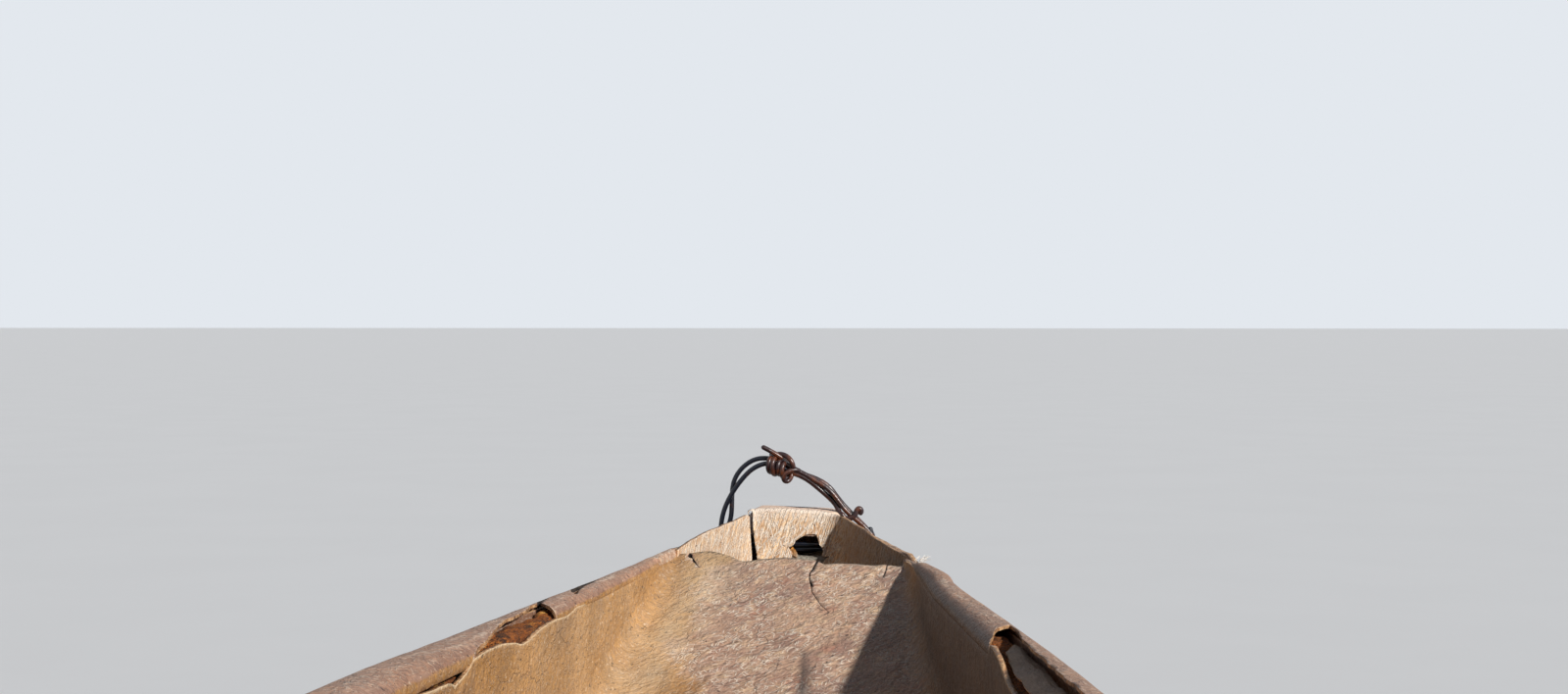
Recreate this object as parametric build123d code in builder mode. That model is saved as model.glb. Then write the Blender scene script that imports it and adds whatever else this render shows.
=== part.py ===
"""Dugout-form canoe moulded in glass fibre and resin, with a wire mooring loop at the bow.

Millimetres, +X towards the bow, +Y to port, +Z up. The origin is on the floor under
the middle of the hull. Every station is given by its distance from the nearer stem, so
bow and stern come from one table.
"""
import os
from math import cos, hypot, pi, radians, sin, tan

from build123d import *

os.makedirs("parts", exist_ok=True)

# Hull form
LENGTH = 5600.0
BEAM = 640.0
DEPTH = 347.0
SHEER_RISE = 53.0
KEEL_RISE = 262.0
BILGE_RADIUS = 130.0
TUMBLEHOME = 8.0
BOTTOM_TRIM = 3.0
SHEER_TOP = DEPTH + SHEER_RISE

# Laminates and the fits between them
HULL_SKIN = 5.0
BOTTOM_SKIN = 8.0
LINER_SKIN = 4.0
CAP_SKIN = 4.0
HEAD_SKIN = 5.0
TUB_SKIN = 4.0
SEAT = 0.3
FLOOR_SEAT = 0.6

# How far cutting shapes pass the material they cut, sideways and upwards
PAST = 12.0
ABOVE = 60.0

# Rolled rim that caps both skins
RIM_WIDTH = 40.0
RIM_OUTER_DROP = 30.0
RIM_INNER_DROP = 14.0
RIM_ROUND = 0.44
RIM_LEG_ROUND = 2.2
FOAM_DEPTH = 24.0
FOAM_FIT = 1.2
FOAM_START = 450.0

# Bow and stern ends, as distances from the stem
END_WALL = 65.0
RAMP_EDGE = 220.0
RAMP_EDGE_DROP = 22.0
RAMP_ANGLE = 24.0
RAMP_FOOT_RADIUS = 900.0
RAMP_RUN_OUT = -40.0
STEM_WALL = 8.0
STEM_CORNER = 16.0
HEAD_CROWN = 17.0
HEAD_TOP_FRONT = 38.0
HEAD_TOP_REAR = 45.0
HEAD_SETBACK = 9.0
DECK_STEP = 5.0
DECK_SHOULDER = 13.0
DECK_LIP = 14.0
DECK_LIP_BACK = 30.0
DECK_LIP_LAP = 1.0
DECK_EDGE_SKIN = 4.0
TUB_HALF_WIDTH = 44.0
TUB_FOOT = 256.0
TUB_CORNER = 20.0

# Broken places: distances from the stem, sizes, and heights from the sheer's top
HOLE_WIDTH = 38.0
HOLE_HEIGHT = 28.0
HOLE_DROP = 11.0
HOLE_OFFSET = -10.0
SLIT_WIDTH = 5.0
SLIT_IN = 2.0
SLIT_RISE = 4.0
LEFT_BREAK = (690.0, 880.0)
LEFT_BREAK_WIDTH = 17.0
RIGHT_BREAK = (610.0, 1080.0)
RIGHT_BREAK_WIDTH = 20.0
EDGE_BREAK_DEPTH = 26.0

# Wire mooring loop, with heights from the sheer's top
WIRE = 4.8
PIVOT_FROM_STEM = 48.0
PIVOT_DROP = 25.5
STRAND_GAP = 0.8
STRAND_STEP = 2.5
EYE_RADIUS = 6.8
LOOP_CLEAR = 12.1
EYE_REACH = 0.925
KNOT_RISE = 60.5
KNOT_STEP = 1.5
WRAP_GAP = 0.4
WRAPS = 5
WRAP_FROM = 8.2
BEND_SHARE = 0.42
WIRE_FLATS = 8
STRAND_STEPS = 56
WRAP_STEPS = 20

# Distance from the stem, then shares of half the beam, the sheer rise, the keel rise,
# the bilge radius and the rim size
STATIONS = [
    (0.0, 0.167, 1.000, 1.000, 0.23, 0.30),
    (END_WALL, 0.228, 0.925, 0.815, 0.34, 0.30),
    (140.0, 0.296, 0.828, 0.630, 0.44, 0.30),
    (RAMP_EDGE, 0.366, 0.736, 0.465, 0.54, 0.30),
    (330.0, 0.455, 0.623, 0.302, 0.63, 0.45),
    (450.0, 0.546, 0.521, 0.178, 0.71, 0.62),
    (600.0, 0.646, 0.425, 0.083, 0.79, 0.80),
    (800.0, 0.764, 0.340, 0.020, 0.86, 0.95),
    (1000.0, 0.856, 0.270, 0.000, 0.91, 1.00),
    (1250.0, 0.928, 0.190, 0.000, 0.95, 1.00),
    (1650.0, 0.976, 0.090, 0.000, 0.98, 1.00),
    (2200.0, 0.995, 0.025, 0.000, 1.00, 1.00),
    (LENGTH / 2, 1.000, 0.000, 0.000, 1.00, 1.00),
]


def shares_at(distance):
    """The table's shares at any distance from the stem, straight between its rows."""
    for near, far in zip(STATIONS, STATIONS[1:]):
        if distance <= far[0]:
            part = (distance - near[0]) / (far[0] - near[0])
            return [a + (b - a) * part for a, b in zip(near[1:], far[1:])]
    return list(STATIONS[-1][1:])


def half_beam(distance):
    return BEAM / 2 * shares_at(distance)[0]


def sheer(distance):
    return DEPTH + SHEER_RISE * shares_at(distance)[1]


def keel(distance):
    return KEEL_RISE * shares_at(distance)[2] - BOTTOM_TRIM


def rim_share(distance):
    return shares_at(distance)[4]


def stations_from(first):
    """Signed places along X from bow to stern, with their distance from the nearer stem."""
    inner = [row[0] for row in STATIONS if row[0] > first + 1.0]
    bow = [(LENGTH / 2 - d, d) for d in [first] + inner]
    stern = [(d - LENGTH / 2, d) for d in reversed([first] + inner[:-1])]
    return bow + stern


def cross_plane(x):
    return Plane(origin=(x, 0, 0), x_dir=(0, 1, 0), z_dir=(1, 0, 0))


def channel(first, side_in, bottom_up, top_up):
    """Hull-shaped solid: straight sides, round bilges and flat bottom, lofted bow to stern.

    side_in gives how far each side is moved in, as a function of the station's distance.
    """
    with BuildPart() as body:
        for x, distance in stations_from(first):
            inset = side_in(distance)
            bilge = shares_at(distance)[3]
            low = keel(distance) + bottom_up
            high = sheer(distance) + top_up
            lean = TUMBLEHOME * bilge / (sheer(distance) - keel(distance))
            foot = half_beam(distance) - inset + lean * (sheer(distance) - low)
            head = half_beam(distance) - inset - lean * top_up
            radius = BILGE_RADIUS * bilge - min(inset, 0.6 * BILGE_RADIUS * bilge)
            with BuildSketch(cross_plane(x)):
                with BuildLine():
                    FilletPolyline((-head, high), (-foot, low), (foot, low), (head, high), radius=radius)
                    Line((head, high), (-head, high))
                make_face()
        loft(ruled=True)
    return body.part


def rim_corners(side, distance, inset, top_in, drop_extra):
    """Corners of one rim section, its outer leg longer than its inner one, and its rounding."""
    share = rim_share(distance)
    outer = half_beam(distance) - inset
    inner = half_beam(distance) - RIM_WIDTH * share + inset
    top = sheer(distance) - top_in
    outer_foot = sheer(distance) - RIM_OUTER_DROP * share - drop_extra
    inner_foot = sheer(distance) - RIM_INNER_DROP * share - drop_extra
    outer_leg = [(side * outer, outer_foot), (side * outer, top)]
    corners = outer_leg + [(side * inner, top), (side * inner, inner_foot)]
    return corners, RIM_ROUND * min(outer - inner, RIM_LEG_ROUND * (top - inner_foot))


def rim(side, first, inset, top_in, drop_extra):
    """Rim solid of one side, lofted along the sheer: round-topped, and plain where it is inset."""
    with BuildPart() as body:
        for x, distance in stations_from(first):
            corners, rounding = rim_corners(side, distance, inset, top_in, drop_extra)
            with BuildSketch(cross_plane(x)):
                with BuildLine():
                    if inset > 0:
                        Polyline(*corners)
                    else:
                        FilletPolyline(*corners, radius=rounding)
                    Line(corners[-1], corners[0])
                make_face()
        loft(ruled=True)
    return body.part


def rim_room(side):
    """All that the skins give up to the rim: from its feet upwards, past it on both sides."""
    with BuildPart() as body:
        for x, distance in stations_from(RAMP_EDGE):
            share = rim_share(distance)
            outer = half_beam(distance)
            inner = outer - RIM_WIDTH * share
            slope = (RIM_OUTER_DROP - RIM_INNER_DROP) / RIM_WIDTH
            outer_foot = sheer(distance) - RIM_OUTER_DROP * share - SEAT
            inner_foot = sheer(distance) - RIM_INNER_DROP * share - SEAT
            above = sheer(distance) + ABOVE
            with BuildSketch(cross_plane(x)):
                with BuildLine():
                    Polyline(
                        (side * (outer + PAST), outer_foot - slope * PAST),
                        (side * (outer + PAST), above),
                        (side * (inner - PAST), above),
                        (side * (inner - PAST), inner_foot + slope * PAST),
                        close=True,
                    )
                make_face()
        loft(ruled=True)
    return body.part


def side_profile(lift, forward):
    """Side view of the space above both ramps, as a slab across the whole beam.

    lift raises the ramps along their normal, forward lengthens the slab past their edges.
    """
    slope = tan(radians(RAMP_ANGLE))
    rise = lift / cos(radians(RAMP_ANGLE))
    edge_x = LENGTH / 2 - RAMP_EDGE
    edge_z = SHEER_TOP - RAMP_EDGE_DROP + rise
    low = RAMP_RUN_OUT
    foot_x = edge_x - (edge_z - low) / slope
    tip_x = edge_x + forward
    tip_z = edge_z + forward * slope
    high = SHEER_TOP + 2 * ABOVE
    with BuildPart() as body:
        with BuildSketch(Plane.XZ):
            with BuildLine():
                FilletPolyline(
                    (-tip_x, tip_z), (-foot_x, low), (foot_x, low), (tip_x, tip_z), radius=RAMP_FOOT_RADIUS
                )
                Polyline((tip_x, tip_z), (tip_x, high), (-tip_x, high), (-tip_x, tip_z))
            make_face()
        extrude(amount=BEAM, both=True)
    return body.part


def break_cut(side, span, inner_reach, depth):
    """Ragged bite out of a rim's inner edge: a band along the sheer with slanted ends."""
    start, end = span
    with BuildPart() as body:
        for distance, swell in ((start, 0.12), ((start + end) / 2, 1.0), (end, 0.40)):
            x = LENGTH / 2 - distance
            inner = half_beam(distance) - RIM_WIDTH * rim_share(distance)
            reach = inner + inner_reach * swell
            low = sheer(distance) - depth
            above = sheer(distance) + ABOVE
            with BuildSketch(cross_plane(x)):
                with BuildLine():
                    Polyline(
                        (side * (inner - PAST), low),
                        (side * reach, low),
                        (side * reach, above),
                        (side * (inner - PAST), above),
                        close=True,
                    )
                make_face()
        loft(ruled=True)
    return body.part


# Outer skin
outer_form = channel(0.0, lambda d: 0.0, 0.0, 0.0)
outer_core = channel(STEM_WALL, lambda d: HULL_SKIN, BOTTOM_SKIN, ABOVE)
rim_rooms = [rim_room(side) for side in (1, -1)]
with BuildPart() as outer_hull:
    add(outer_form)
    for end in (outer_hull.faces().sort_by(Axis.X)[-1], outer_hull.faces().sort_by(Axis.X)[0]):
        fillet(end.edges().sort_by(Axis.Z)[:-1], STEM_CORNER)
    add(outer_core, mode=Mode.SUBTRACT)
    for room in rim_rooms:
        add(room, mode=Mode.SUBTRACT)
    with BuildSketch():
        Rectangle(LENGTH + 2 * PAST, BEAM + 2 * PAST)
    extrude(amount=-2 * BOTTOM_TRIM, mode=Mode.SUBTRACT)
    with BuildSketch(Plane.XZ):
        with Locations((LENGTH / 2 - PIVOT_FROM_STEM, SHEER_TOP - PIVOT_DROP)):
            Circle(EYE_RADIUS)
    extrude(amount=BEAM / 2, both=True, mode=Mode.SUBTRACT)
outer_hull.part.label = "outer_hull"

# Inner skin with both ramps
liner_form = channel(
    RAMP_EDGE, lambda d: RIM_WIDTH * rim_share(d) - LINER_SKIN, BOTTOM_SKIN + FLOOR_SEAT, 0.0
)
liner_core = channel(
    RAMP_EDGE - PAST, lambda d: RIM_WIDTH * rim_share(d), BOTTOM_SKIN + FLOOR_SEAT + LINER_SKIN, ABOVE
)
ramp_under = side_profile(0.0, 0.0)
ramp_over = side_profile(LINER_SKIN, ABOVE)
with BuildPart() as liner_space:
    add(liner_core)
    add(ramp_over, mode=Mode.INTERSECT)
left_break = break_cut(1, LEFT_BREAK, LEFT_BREAK_WIDTH, EDGE_BREAK_DEPTH)
right_break = break_cut(-1, RIGHT_BREAK, RIGHT_BREAK_WIDTH, EDGE_BREAK_DEPTH)
with BuildPart() as inner_liner:
    add(liner_form)
    add(ramp_under, mode=Mode.INTERSECT)
    add(liner_space.part, mode=Mode.SUBTRACT)
    for room in rim_rooms:
        add(room, mode=Mode.SUBTRACT)
    add(left_break, mode=Mode.SUBTRACT)
    add(right_break, mode=Mode.SUBTRACT)
inner_liner.part.label = "inner_liner"

# Rolled rims and the foam inside them
rims = {}
for name, side, bite in (("left", 1, left_break), ("right", -1, right_break)):
    rim_form = rim(side, RAMP_EDGE, 0.0, 0.0, 0.0)
    rim_core = rim(side, RAMP_EDGE + CAP_SKIN, CAP_SKIN, CAP_SKIN, RIM_INNER_DROP)
    with BuildPart() as gunwale:
        add(rim_form)
        add(rim_core, mode=Mode.SUBTRACT)
        add(bite, mode=Mode.SUBTRACT)
    rims[f"gunwale_{name}"] = gunwale.part
    rims[f"rim_foam_{name}"] = rim(side, FOAM_START, CAP_SKIN + FOAM_FIT, CAP_SKIN + SEAT, FOAM_DEPTH)


def end_plane(end, from_stem, height_there, to_stem, height_to):
    """Plane whose own X runs inboard from one height to another; end is 1 at the bow."""
    fall = (height_there - height_to) / (to_stem - from_stem)
    size = hypot(1.0, fall)
    return Plane(
        origin=(end * (LENGTH / 2 - from_stem), 0, height_there),
        x_dir=(-end / size, 0, -fall / size),
        z_dir=(-end * fall / size, 0, 1 / size),
    )


def end_outline(near, near_half, far, far_half):
    """Plan corners of a hull end, from its far corner to port round to the one to starboard."""
    return [(far, far_half), (near, near_half), (near, -near_half), (far, -far_half)]


def head_form(end, inset):
    """Crowned cap of a hull end, from the sheer up to its flat top."""
    rear = END_WALL - TUB_SKIN - SEAT
    if inset > 0:
        rear += PAST
    top = sheer(END_WALL) + HEAD_CROWN - inset
    foot_flare = (half_beam(END_WALL) - half_beam(0)) / END_WALL
    top_flare = (HEAD_TOP_REAR - HEAD_TOP_FRONT) / END_WALL
    near = HEAD_SETBACK + inset
    foot_outline = end_outline(
        inset, half_beam(0) + foot_flare * inset - inset, rear, half_beam(0) + foot_flare * rear - inset
    )
    top_outline = end_outline(
        near, HEAD_TOP_FRONT + top_flare * near - inset, rear, HEAD_TOP_FRONT + top_flare * rear - inset
    )
    with BuildPart() as body:
        with BuildSketch(end_plane(end, 0, sheer(0) + SEAT, END_WALL, sheer(END_WALL) + SEAT)):
            with BuildLine():
                if inset > 0:
                    Polyline(*foot_outline)
                else:
                    FilletPolyline(*foot_outline, radius=STEM_CORNER)
                Line(foot_outline[-1], foot_outline[0])
            make_face()
        with BuildSketch(end_plane(end, 0, top, END_WALL, top)):
            with BuildLine():
                if inset > 0:
                    Polyline(*top_outline)
                else:
                    FilletPolyline(*top_outline, radius=STEM_CORNER)
                Line(top_outline[-1], top_outline[0])
            make_face()
        loft(ruled=True)
    return body.part


heads = {}
for name, end in (("bow_head", 1), ("stern_head", -1)):
    head_outer = head_form(end, 0.0)
    head_inner = head_form(end, HEAD_SKIN)
    with BuildPart() as head:
        add(head_outer)
        add(head_inner, mode=Mode.SUBTRACT)
    heads[name] = head.part

# Bow chamber: end wall and two side walls in one moulding, its deck lost
deck_foot = sheer(RAMP_EDGE)
crown_height = sheer(END_WALL) + HEAD_CROWN
tub_aft_half = half_beam(RAMP_EDGE) - RIM_WIDTH * rim_share(RAMP_EDGE)
tub_length = RAMP_EDGE - SEAT - END_WALL
tub_flare = (tub_aft_half - TUB_HALF_WIDTH) / tub_length
tub_foot_plane = end_plane(1, END_WALL, TUB_FOOT, RAMP_EDGE, TUB_FOOT)
tub_outside = end_outline(
    -TUB_SKIN, TUB_HALF_WIDTH + TUB_SKIN - tub_flare * TUB_SKIN, tub_length, tub_aft_half + TUB_SKIN
)
tub_inside = end_outline(0, TUB_HALF_WIDTH, tub_length + PAST, tub_aft_half + tub_flare * PAST)
with BuildPart() as bow_tub:
    with BuildSketch(tub_foot_plane):
        with BuildLine():
            FilletPolyline(*tub_outside, radius=TUB_CORNER)
            Line(tub_outside[-1], tub_outside[0])
        make_face()
        with BuildLine():
            FilletPolyline(*tub_inside, radius=TUB_CORNER - TUB_SKIN)
            Line(tub_inside[-1], tub_inside[0])
        make_face(mode=Mode.SUBTRACT)
    extrude(amount=crown_height - TUB_FOOT)
    with BuildSketch(Plane.XZ):
        with BuildLine():
            Polyline(
                (LENGTH / 2 - END_WALL, crown_height),
                (LENGTH / 2 - RAMP_EDGE, deck_foot),
                (LENGTH / 2 - RAMP_EDGE - PAST, deck_foot),
                (LENGTH / 2 - RAMP_EDGE - PAST, crown_height + PAST),
                (LENGTH / 2 - END_WALL, crown_height + PAST),
                close=True,
            )
        make_face()
    extrude(amount=BEAM / 2, both=True, mode=Mode.SUBTRACT)
    with BuildSketch(cross_plane(LENGTH / 2 - END_WALL - PAST)):
        with BuildLine():
            hole_top = SHEER_TOP - HOLE_DROP
            hole_low = hole_top - HOLE_HEIGHT
            Polyline(
                (HOLE_OFFSET + 0.50 * HOLE_WIDTH, hole_low),
                (HOLE_OFFSET + 0.34 * HOLE_WIDTH, hole_low + 0.45 * HOLE_HEIGHT),
                (HOLE_OFFSET + 0.10 * HOLE_WIDTH, hole_top),
                (HOLE_OFFSET - 0.30 * HOLE_WIDTH, hole_low + 0.96 * HOLE_HEIGHT),
                (HOLE_OFFSET - 0.50 * HOLE_WIDTH, hole_low + 0.35 * HOLE_HEIGHT),
                (HOLE_OFFSET - 0.42 * HOLE_WIDTH, hole_low),
                close=True,
            )
        make_face()
        with BuildLine():
            Polyline(
                (TUB_HALF_WIDTH - SLIT_IN / 2, SHEER_TOP + SLIT_RISE),
                (TUB_HALF_WIDTH - SLIT_IN - SLIT_WIDTH, TUB_FOOT - SLIT_IN),
                (TUB_HALF_WIDTH - SLIT_IN, TUB_FOOT - SLIT_IN),
                close=True,
            )
        make_face()
    extrude(amount=TUB_SKIN + 2 * PAST, mode=Mode.SUBTRACT)

# Stern deck, whole, over the same chamber
with BuildPart() as stern_deck:
    deck_length = RAMP_EDGE - SEAT - END_WALL
    foot_flare = (half_beam(RAMP_EDGE) - half_beam(END_WALL)) / (RAMP_EDGE - END_WALL)
    with BuildSketch(end_plane(-1, END_WALL, sheer(END_WALL) + SEAT, RAMP_EDGE, deck_foot + SEAT)):
        with BuildLine():
            Polyline(
                (-TUB_SKIN, half_beam(END_WALL) - TUB_SKIN * foot_flare),
                (deck_length, half_beam(END_WALL) + deck_length * foot_flare),
                (deck_length, -half_beam(END_WALL) - deck_length * foot_flare),
                (-TUB_SKIN, -half_beam(END_WALL) + TUB_SKIN * foot_flare),
                close=True,
            )
        make_face()
    with BuildSketch(end_plane(-1, END_WALL, crown_height, RAMP_EDGE, deck_foot + DECK_STEP)):
        with BuildLine():
            Polyline(
                (-TUB_SKIN, HEAD_TOP_REAR),
                (deck_length, half_beam(RAMP_EDGE) - DECK_SHOULDER),
                (deck_length, -half_beam(RAMP_EDGE) + DECK_SHOULDER),
                (-TUB_SKIN, -HEAD_TOP_REAR),
                close=True,
            )
        make_face()
    loft(ruled=True)
    with BuildSketch(Plane.XZ):
        with BuildLine():
            Polyline(
                (-LENGTH / 2 + END_WALL, deck_foot - PAST),
                (-LENGTH / 2 + END_WALL, crown_height - HEAD_SKIN),
                (-LENGTH / 2 + RAMP_EDGE - DECK_LIP_BACK, deck_foot + DECK_EDGE_SKIN),
                (-LENGTH / 2 + RAMP_EDGE - DECK_LIP_BACK, deck_foot - PAST),
                close=True,
            )
        make_face()
    extrude(amount=HEAD_TOP_REAR - HEAD_SKIN, both=True, mode=Mode.SUBTRACT)
    with BuildSketch(cross_plane(-LENGTH / 2 + RAMP_EDGE - SEAT)):
        with Locations((0, deck_foot + DECK_LIP_LAP - DECK_LIP / 2)):
            Rectangle(2 * (tub_aft_half - LINER_SKIN), DECK_LIP)
    extrude(amount=-HEAD_SKIN)


def bend_radii(points):
    """Largest easy radius for each corner of a route: a share of its shorter run."""
    radii = []
    for before, corner, after in zip(points, points[1:], points[2:]):
        back = Vector(*before) - Vector(*corner)
        ahead = Vector(*after) - Vector(*corner)
        half_turn = radians(180 - back.get_angle(ahead)) / 2
        radii.append(BEND_SHARE * min(back.length, ahead.length) / tan(half_turn))
    return radii


# Wire loop: across through both eyes, up both sides and over the head. A corner is a share of
# the loop's reach from the middle to port, and a share of the strand's rise over the sheer's top
pivot_x = LENGTH / 2 - PIVOT_FROM_STEM
reach = half_beam(PIVOT_FROM_STEM) + LOOP_CLEAR
strand_offset = (WIRE + STRAND_GAP) / 2


def strand_corners(rise, to_eye, eye_height, to_knot):
    """Corners of a strand's route: down to the port eye, through both eyes, up to the knot."""
    down = [(side * reach, SHEER_TOP + height * rise) for side, height in to_eye]
    up = [(side * reach, SHEER_TOP + height * rise) for side, height in to_knot]
    across = [(EYE_REACH * reach, eye_height), (-EYE_REACH * reach, eye_height)]
    return down + across + up


strand_routes = {
    "loop_strand_aft": (
        -strand_offset,
        strand_corners(
            KNOT_RISE - KNOT_STEP,
            [(0.244, 1.0), (0.425, 1.0), (0.663, 0.864), (0.85, 0.559), (0.975, 0.186), (1.0, -0.15)],
            SHEER_TOP - PIVOT_DROP + STRAND_STEP,
            [
                (-1.037, -0.17), (-0.937, 0.068), (-0.713, 0.212), (-0.588, 0.322), (-0.475, 0.525),
                (-0.275, 0.729), (-0.075, 0.864), (0.05, 1.0), (0.181, 1.0),
            ],
        ),
    ),
    "loop_strand_fore": (
        strand_offset,
        strand_corners(
            KNOT_RISE + KNOT_STEP,
            [
                (0.244, 1.0), (0.413, 1.0), (0.563, 1.04), (0.70, 0.919), (0.813, 0.71), (0.85, 0.403),
                (0.913, 0.032), (0.987, -0.226),
            ],
            SHEER_TOP - PIVOT_DROP - STRAND_STEP,
            [
                (-1.037, -0.194), (-0.937, 0.065), (-0.713, 0.202), (-0.588, 0.306), (-0.475, 0.5),
                (-0.275, 0.694), (-0.075, 0.839), (0.05, 1.0), (0.181, 1.0),
            ],
        ),
    ),
}
loop = {}
for name, (offset, points) in strand_routes.items():
    with BuildLine(cross_plane(pivot_x + offset)) as route:
        FilletPolyline(*points, radius=bend_radii(points))
    steps = [route.line @ (step / STRAND_STEPS) for step in range(STRAND_STEPS + 1)]
    with BuildPart() as strand:
        with BuildLine() as path:
            Polyline(*steps)
        with BuildSketch(Plane(origin=path.line @ 0, z_dir=path.line % 0)):
            RegularPolygon(WIRE / 2, WIRE_FLATS)
        sweep(transition=Transition.RIGHT)
    loop[name] = strand.part

knot_height = SHEER_TOP + KNOT_RISE
wrap_radius = hypot(strand_offset, KNOT_STEP) + WIRE + WRAP_GAP
with BuildPart() as loop_knot:
    for turn in range(WRAPS):
        place = WRAP_FROM + turn * (WIRE + WRAP_GAP)
        angles = [2 * pi * step / WRAP_STEPS for step in range(WRAP_STEPS)]
        corners = [
            (pivot_x + wrap_radius * cos(angle), place, knot_height + wrap_radius * sin(angle))
            for angle in angles
        ]
        with BuildLine() as ring:
            Polyline(*corners, close=True)
        first_run = 0.5 / WRAP_STEPS
        with BuildSketch(Plane(origin=ring.line @ first_run, z_dir=ring.line % first_run)):
            RegularPolygon(WIRE / 2, WIRE_FLATS)
        sweep(transition=Transition.RIGHT)
loop["loop_knot"] = loop_knot.part

tail_height = knot_height + wrap_radius + WIRE + WRAP_GAP
with BuildPart() as loop_tail:
    with BuildLine(cross_plane(pivot_x)) as route:
        Polyline(
            (0.1 * reach, tail_height),
            (0.3 * reach, tail_height),
            (0.4 * reach, tail_height + 0.4 * WIRE),
            (0.475 * reach, tail_height + 1.25 * WIRE),
        )
    with BuildSketch(Plane(origin=route.line @ 0, z_dir=route.line % 0)):
        RegularPolygon(WIRE / 2, WIRE_FLATS)
    sweep(transition=Transition.RIGHT)
loop["loop_tail"] = loop_tail.part

pieces = {
    "outer_hull": outer_hull.part,
    "inner_liner": inner_liner.part,
    **rims,
    **heads,
    "bow_tub": bow_tub.part,
    "stern_deck": stern_deck.part,
    **loop,
}
for name, part in pieces.items():
    part.label = name
    export_step(part, f"parts/{name}.step")
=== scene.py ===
"""Looks of a weathered canoe in dugout form, moulded in glass mat and resin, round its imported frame.

Metres, +X towards the bow, +Y to port, +Z up, as in the frame. A place along the hull is
given by its distance from the nearer stem, and heights of the rim by the drop below the
sheer line. Every surface is a grid of points worked out as whole arrays.
"""

import bmesh
import bpy
import numpy as np
from mathutils import Matrix, Vector


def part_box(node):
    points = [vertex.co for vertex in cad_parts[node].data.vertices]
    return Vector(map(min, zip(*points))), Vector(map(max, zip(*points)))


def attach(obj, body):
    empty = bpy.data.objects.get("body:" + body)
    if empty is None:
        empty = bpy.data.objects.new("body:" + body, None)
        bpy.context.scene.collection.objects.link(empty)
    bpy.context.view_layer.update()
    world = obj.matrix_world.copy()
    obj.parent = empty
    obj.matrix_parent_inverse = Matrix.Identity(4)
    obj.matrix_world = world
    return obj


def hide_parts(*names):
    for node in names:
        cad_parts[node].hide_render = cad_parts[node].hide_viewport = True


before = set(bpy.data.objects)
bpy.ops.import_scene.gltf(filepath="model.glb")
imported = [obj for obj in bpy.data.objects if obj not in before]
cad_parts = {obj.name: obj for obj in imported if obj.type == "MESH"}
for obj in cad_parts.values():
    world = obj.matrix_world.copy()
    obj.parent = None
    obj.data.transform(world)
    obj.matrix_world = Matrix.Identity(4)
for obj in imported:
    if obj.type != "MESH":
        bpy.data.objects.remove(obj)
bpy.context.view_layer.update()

MM = 0.001

# Hull form: length, beam and height are read from the frame, the rest is as in the solids
hull_low, hull_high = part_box("outer_hull")
rim_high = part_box("gunwale_left")[1]
LENGTH = hull_high.x - hull_low.x
HALF_BEAM = rim_high.y
SHEER_TOP = hull_high.z
SHEER_RISE = 53 * MM
DEPTH = SHEER_TOP - SHEER_RISE
KEEL_RISE = 262 * MM
BILGE_RADIUS = 130 * MM
TUMBLEHOME = 8 * MM
BOTTOM_TRIM = 3 * MM

# Laminates and rims, and the sides that the rims go by, with the sign of Y
SIDES = {"left": 1, "right": -1}
HULL_SKIN = 5 * MM
BOTTOM_SKIN = 8 * MM
LINER_SKIN = 4 * MM
RIM_WIDTH = 40 * MM
RIM_OUTER_DROP = 30 * MM
RIM_LAP = 1 * MM
FOAM_START = 450 * MM

# Bow and stern ends
END_WALL = 65 * MM
RAMP_EDGE = 220 * MM
RAMP_HEIGHT = 378 * MM
RAMP_SLOPE = np.tan(np.radians(24))
RAMP_FOOT_BLEND = 20 * MM
HEAD_CROWN = 17 * MM
CHAMBER_HALF = 44 * MM
CHAMBER_FOOT = 256 * MM
PIVOT_X = LENGTH / 2 - 48 * MM
WIRE_RADIUS = 2.55 * MM

# Water: its level amidships, how much lower it lies for each metre to port, and the floor's reach
WATERLINE = 118 * MM
HEEL = 0.0122
FLOOR_REACH = 400.0

# Light: which way the sun shines, its strength and spread in degrees, and the sky's strength
SUN_WAY = (1.1, 1.0, -0.74)
SUN_STRENGTH = 4.75
SUN_SPREAD = 2.5
SKY_STRENGTH = 0.072

# Camera: its place, then its turns in degrees, to port, down, and with its right side up
CAMERA_PLACE = (0.475, -0.134, 0.607)
CAMERA_TURNS = (3.75, 0.61, 0.73)

# Distance from the stem, then shares of half the beam, the sheer rise, the keel rise,
# the bilge radius and the rim size
STATIONS = np.array([
    (0.000, 0.167, 1.000, 1.000, 0.23, 0.30),
    (END_WALL, 0.228, 0.925, 0.815, 0.34, 0.30),
    (0.140, 0.296, 0.828, 0.630, 0.44, 0.30),
    (RAMP_EDGE, 0.366, 0.736, 0.465, 0.54, 0.30),
    (0.330, 0.455, 0.623, 0.302, 0.63, 0.45),
    (0.450, 0.546, 0.521, 0.178, 0.71, 0.62),
    (0.600, 0.646, 0.425, 0.083, 0.79, 0.80),
    (0.800, 0.764, 0.340, 0.020, 0.86, 0.95),
    (1.000, 0.856, 0.270, 0.000, 0.91, 1.00),
    (1.250, 0.928, 0.190, 0.000, 0.95, 1.00),
    (1.650, 0.976, 0.090, 0.000, 0.98, 1.00),
    (2.200, 0.995, 0.025, 0.000, 1.00, 1.00),
    (LENGTH / 2, 1.000, 0.000, 0.000, 1.00, 1.00),
])


# Curves and grids


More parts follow.
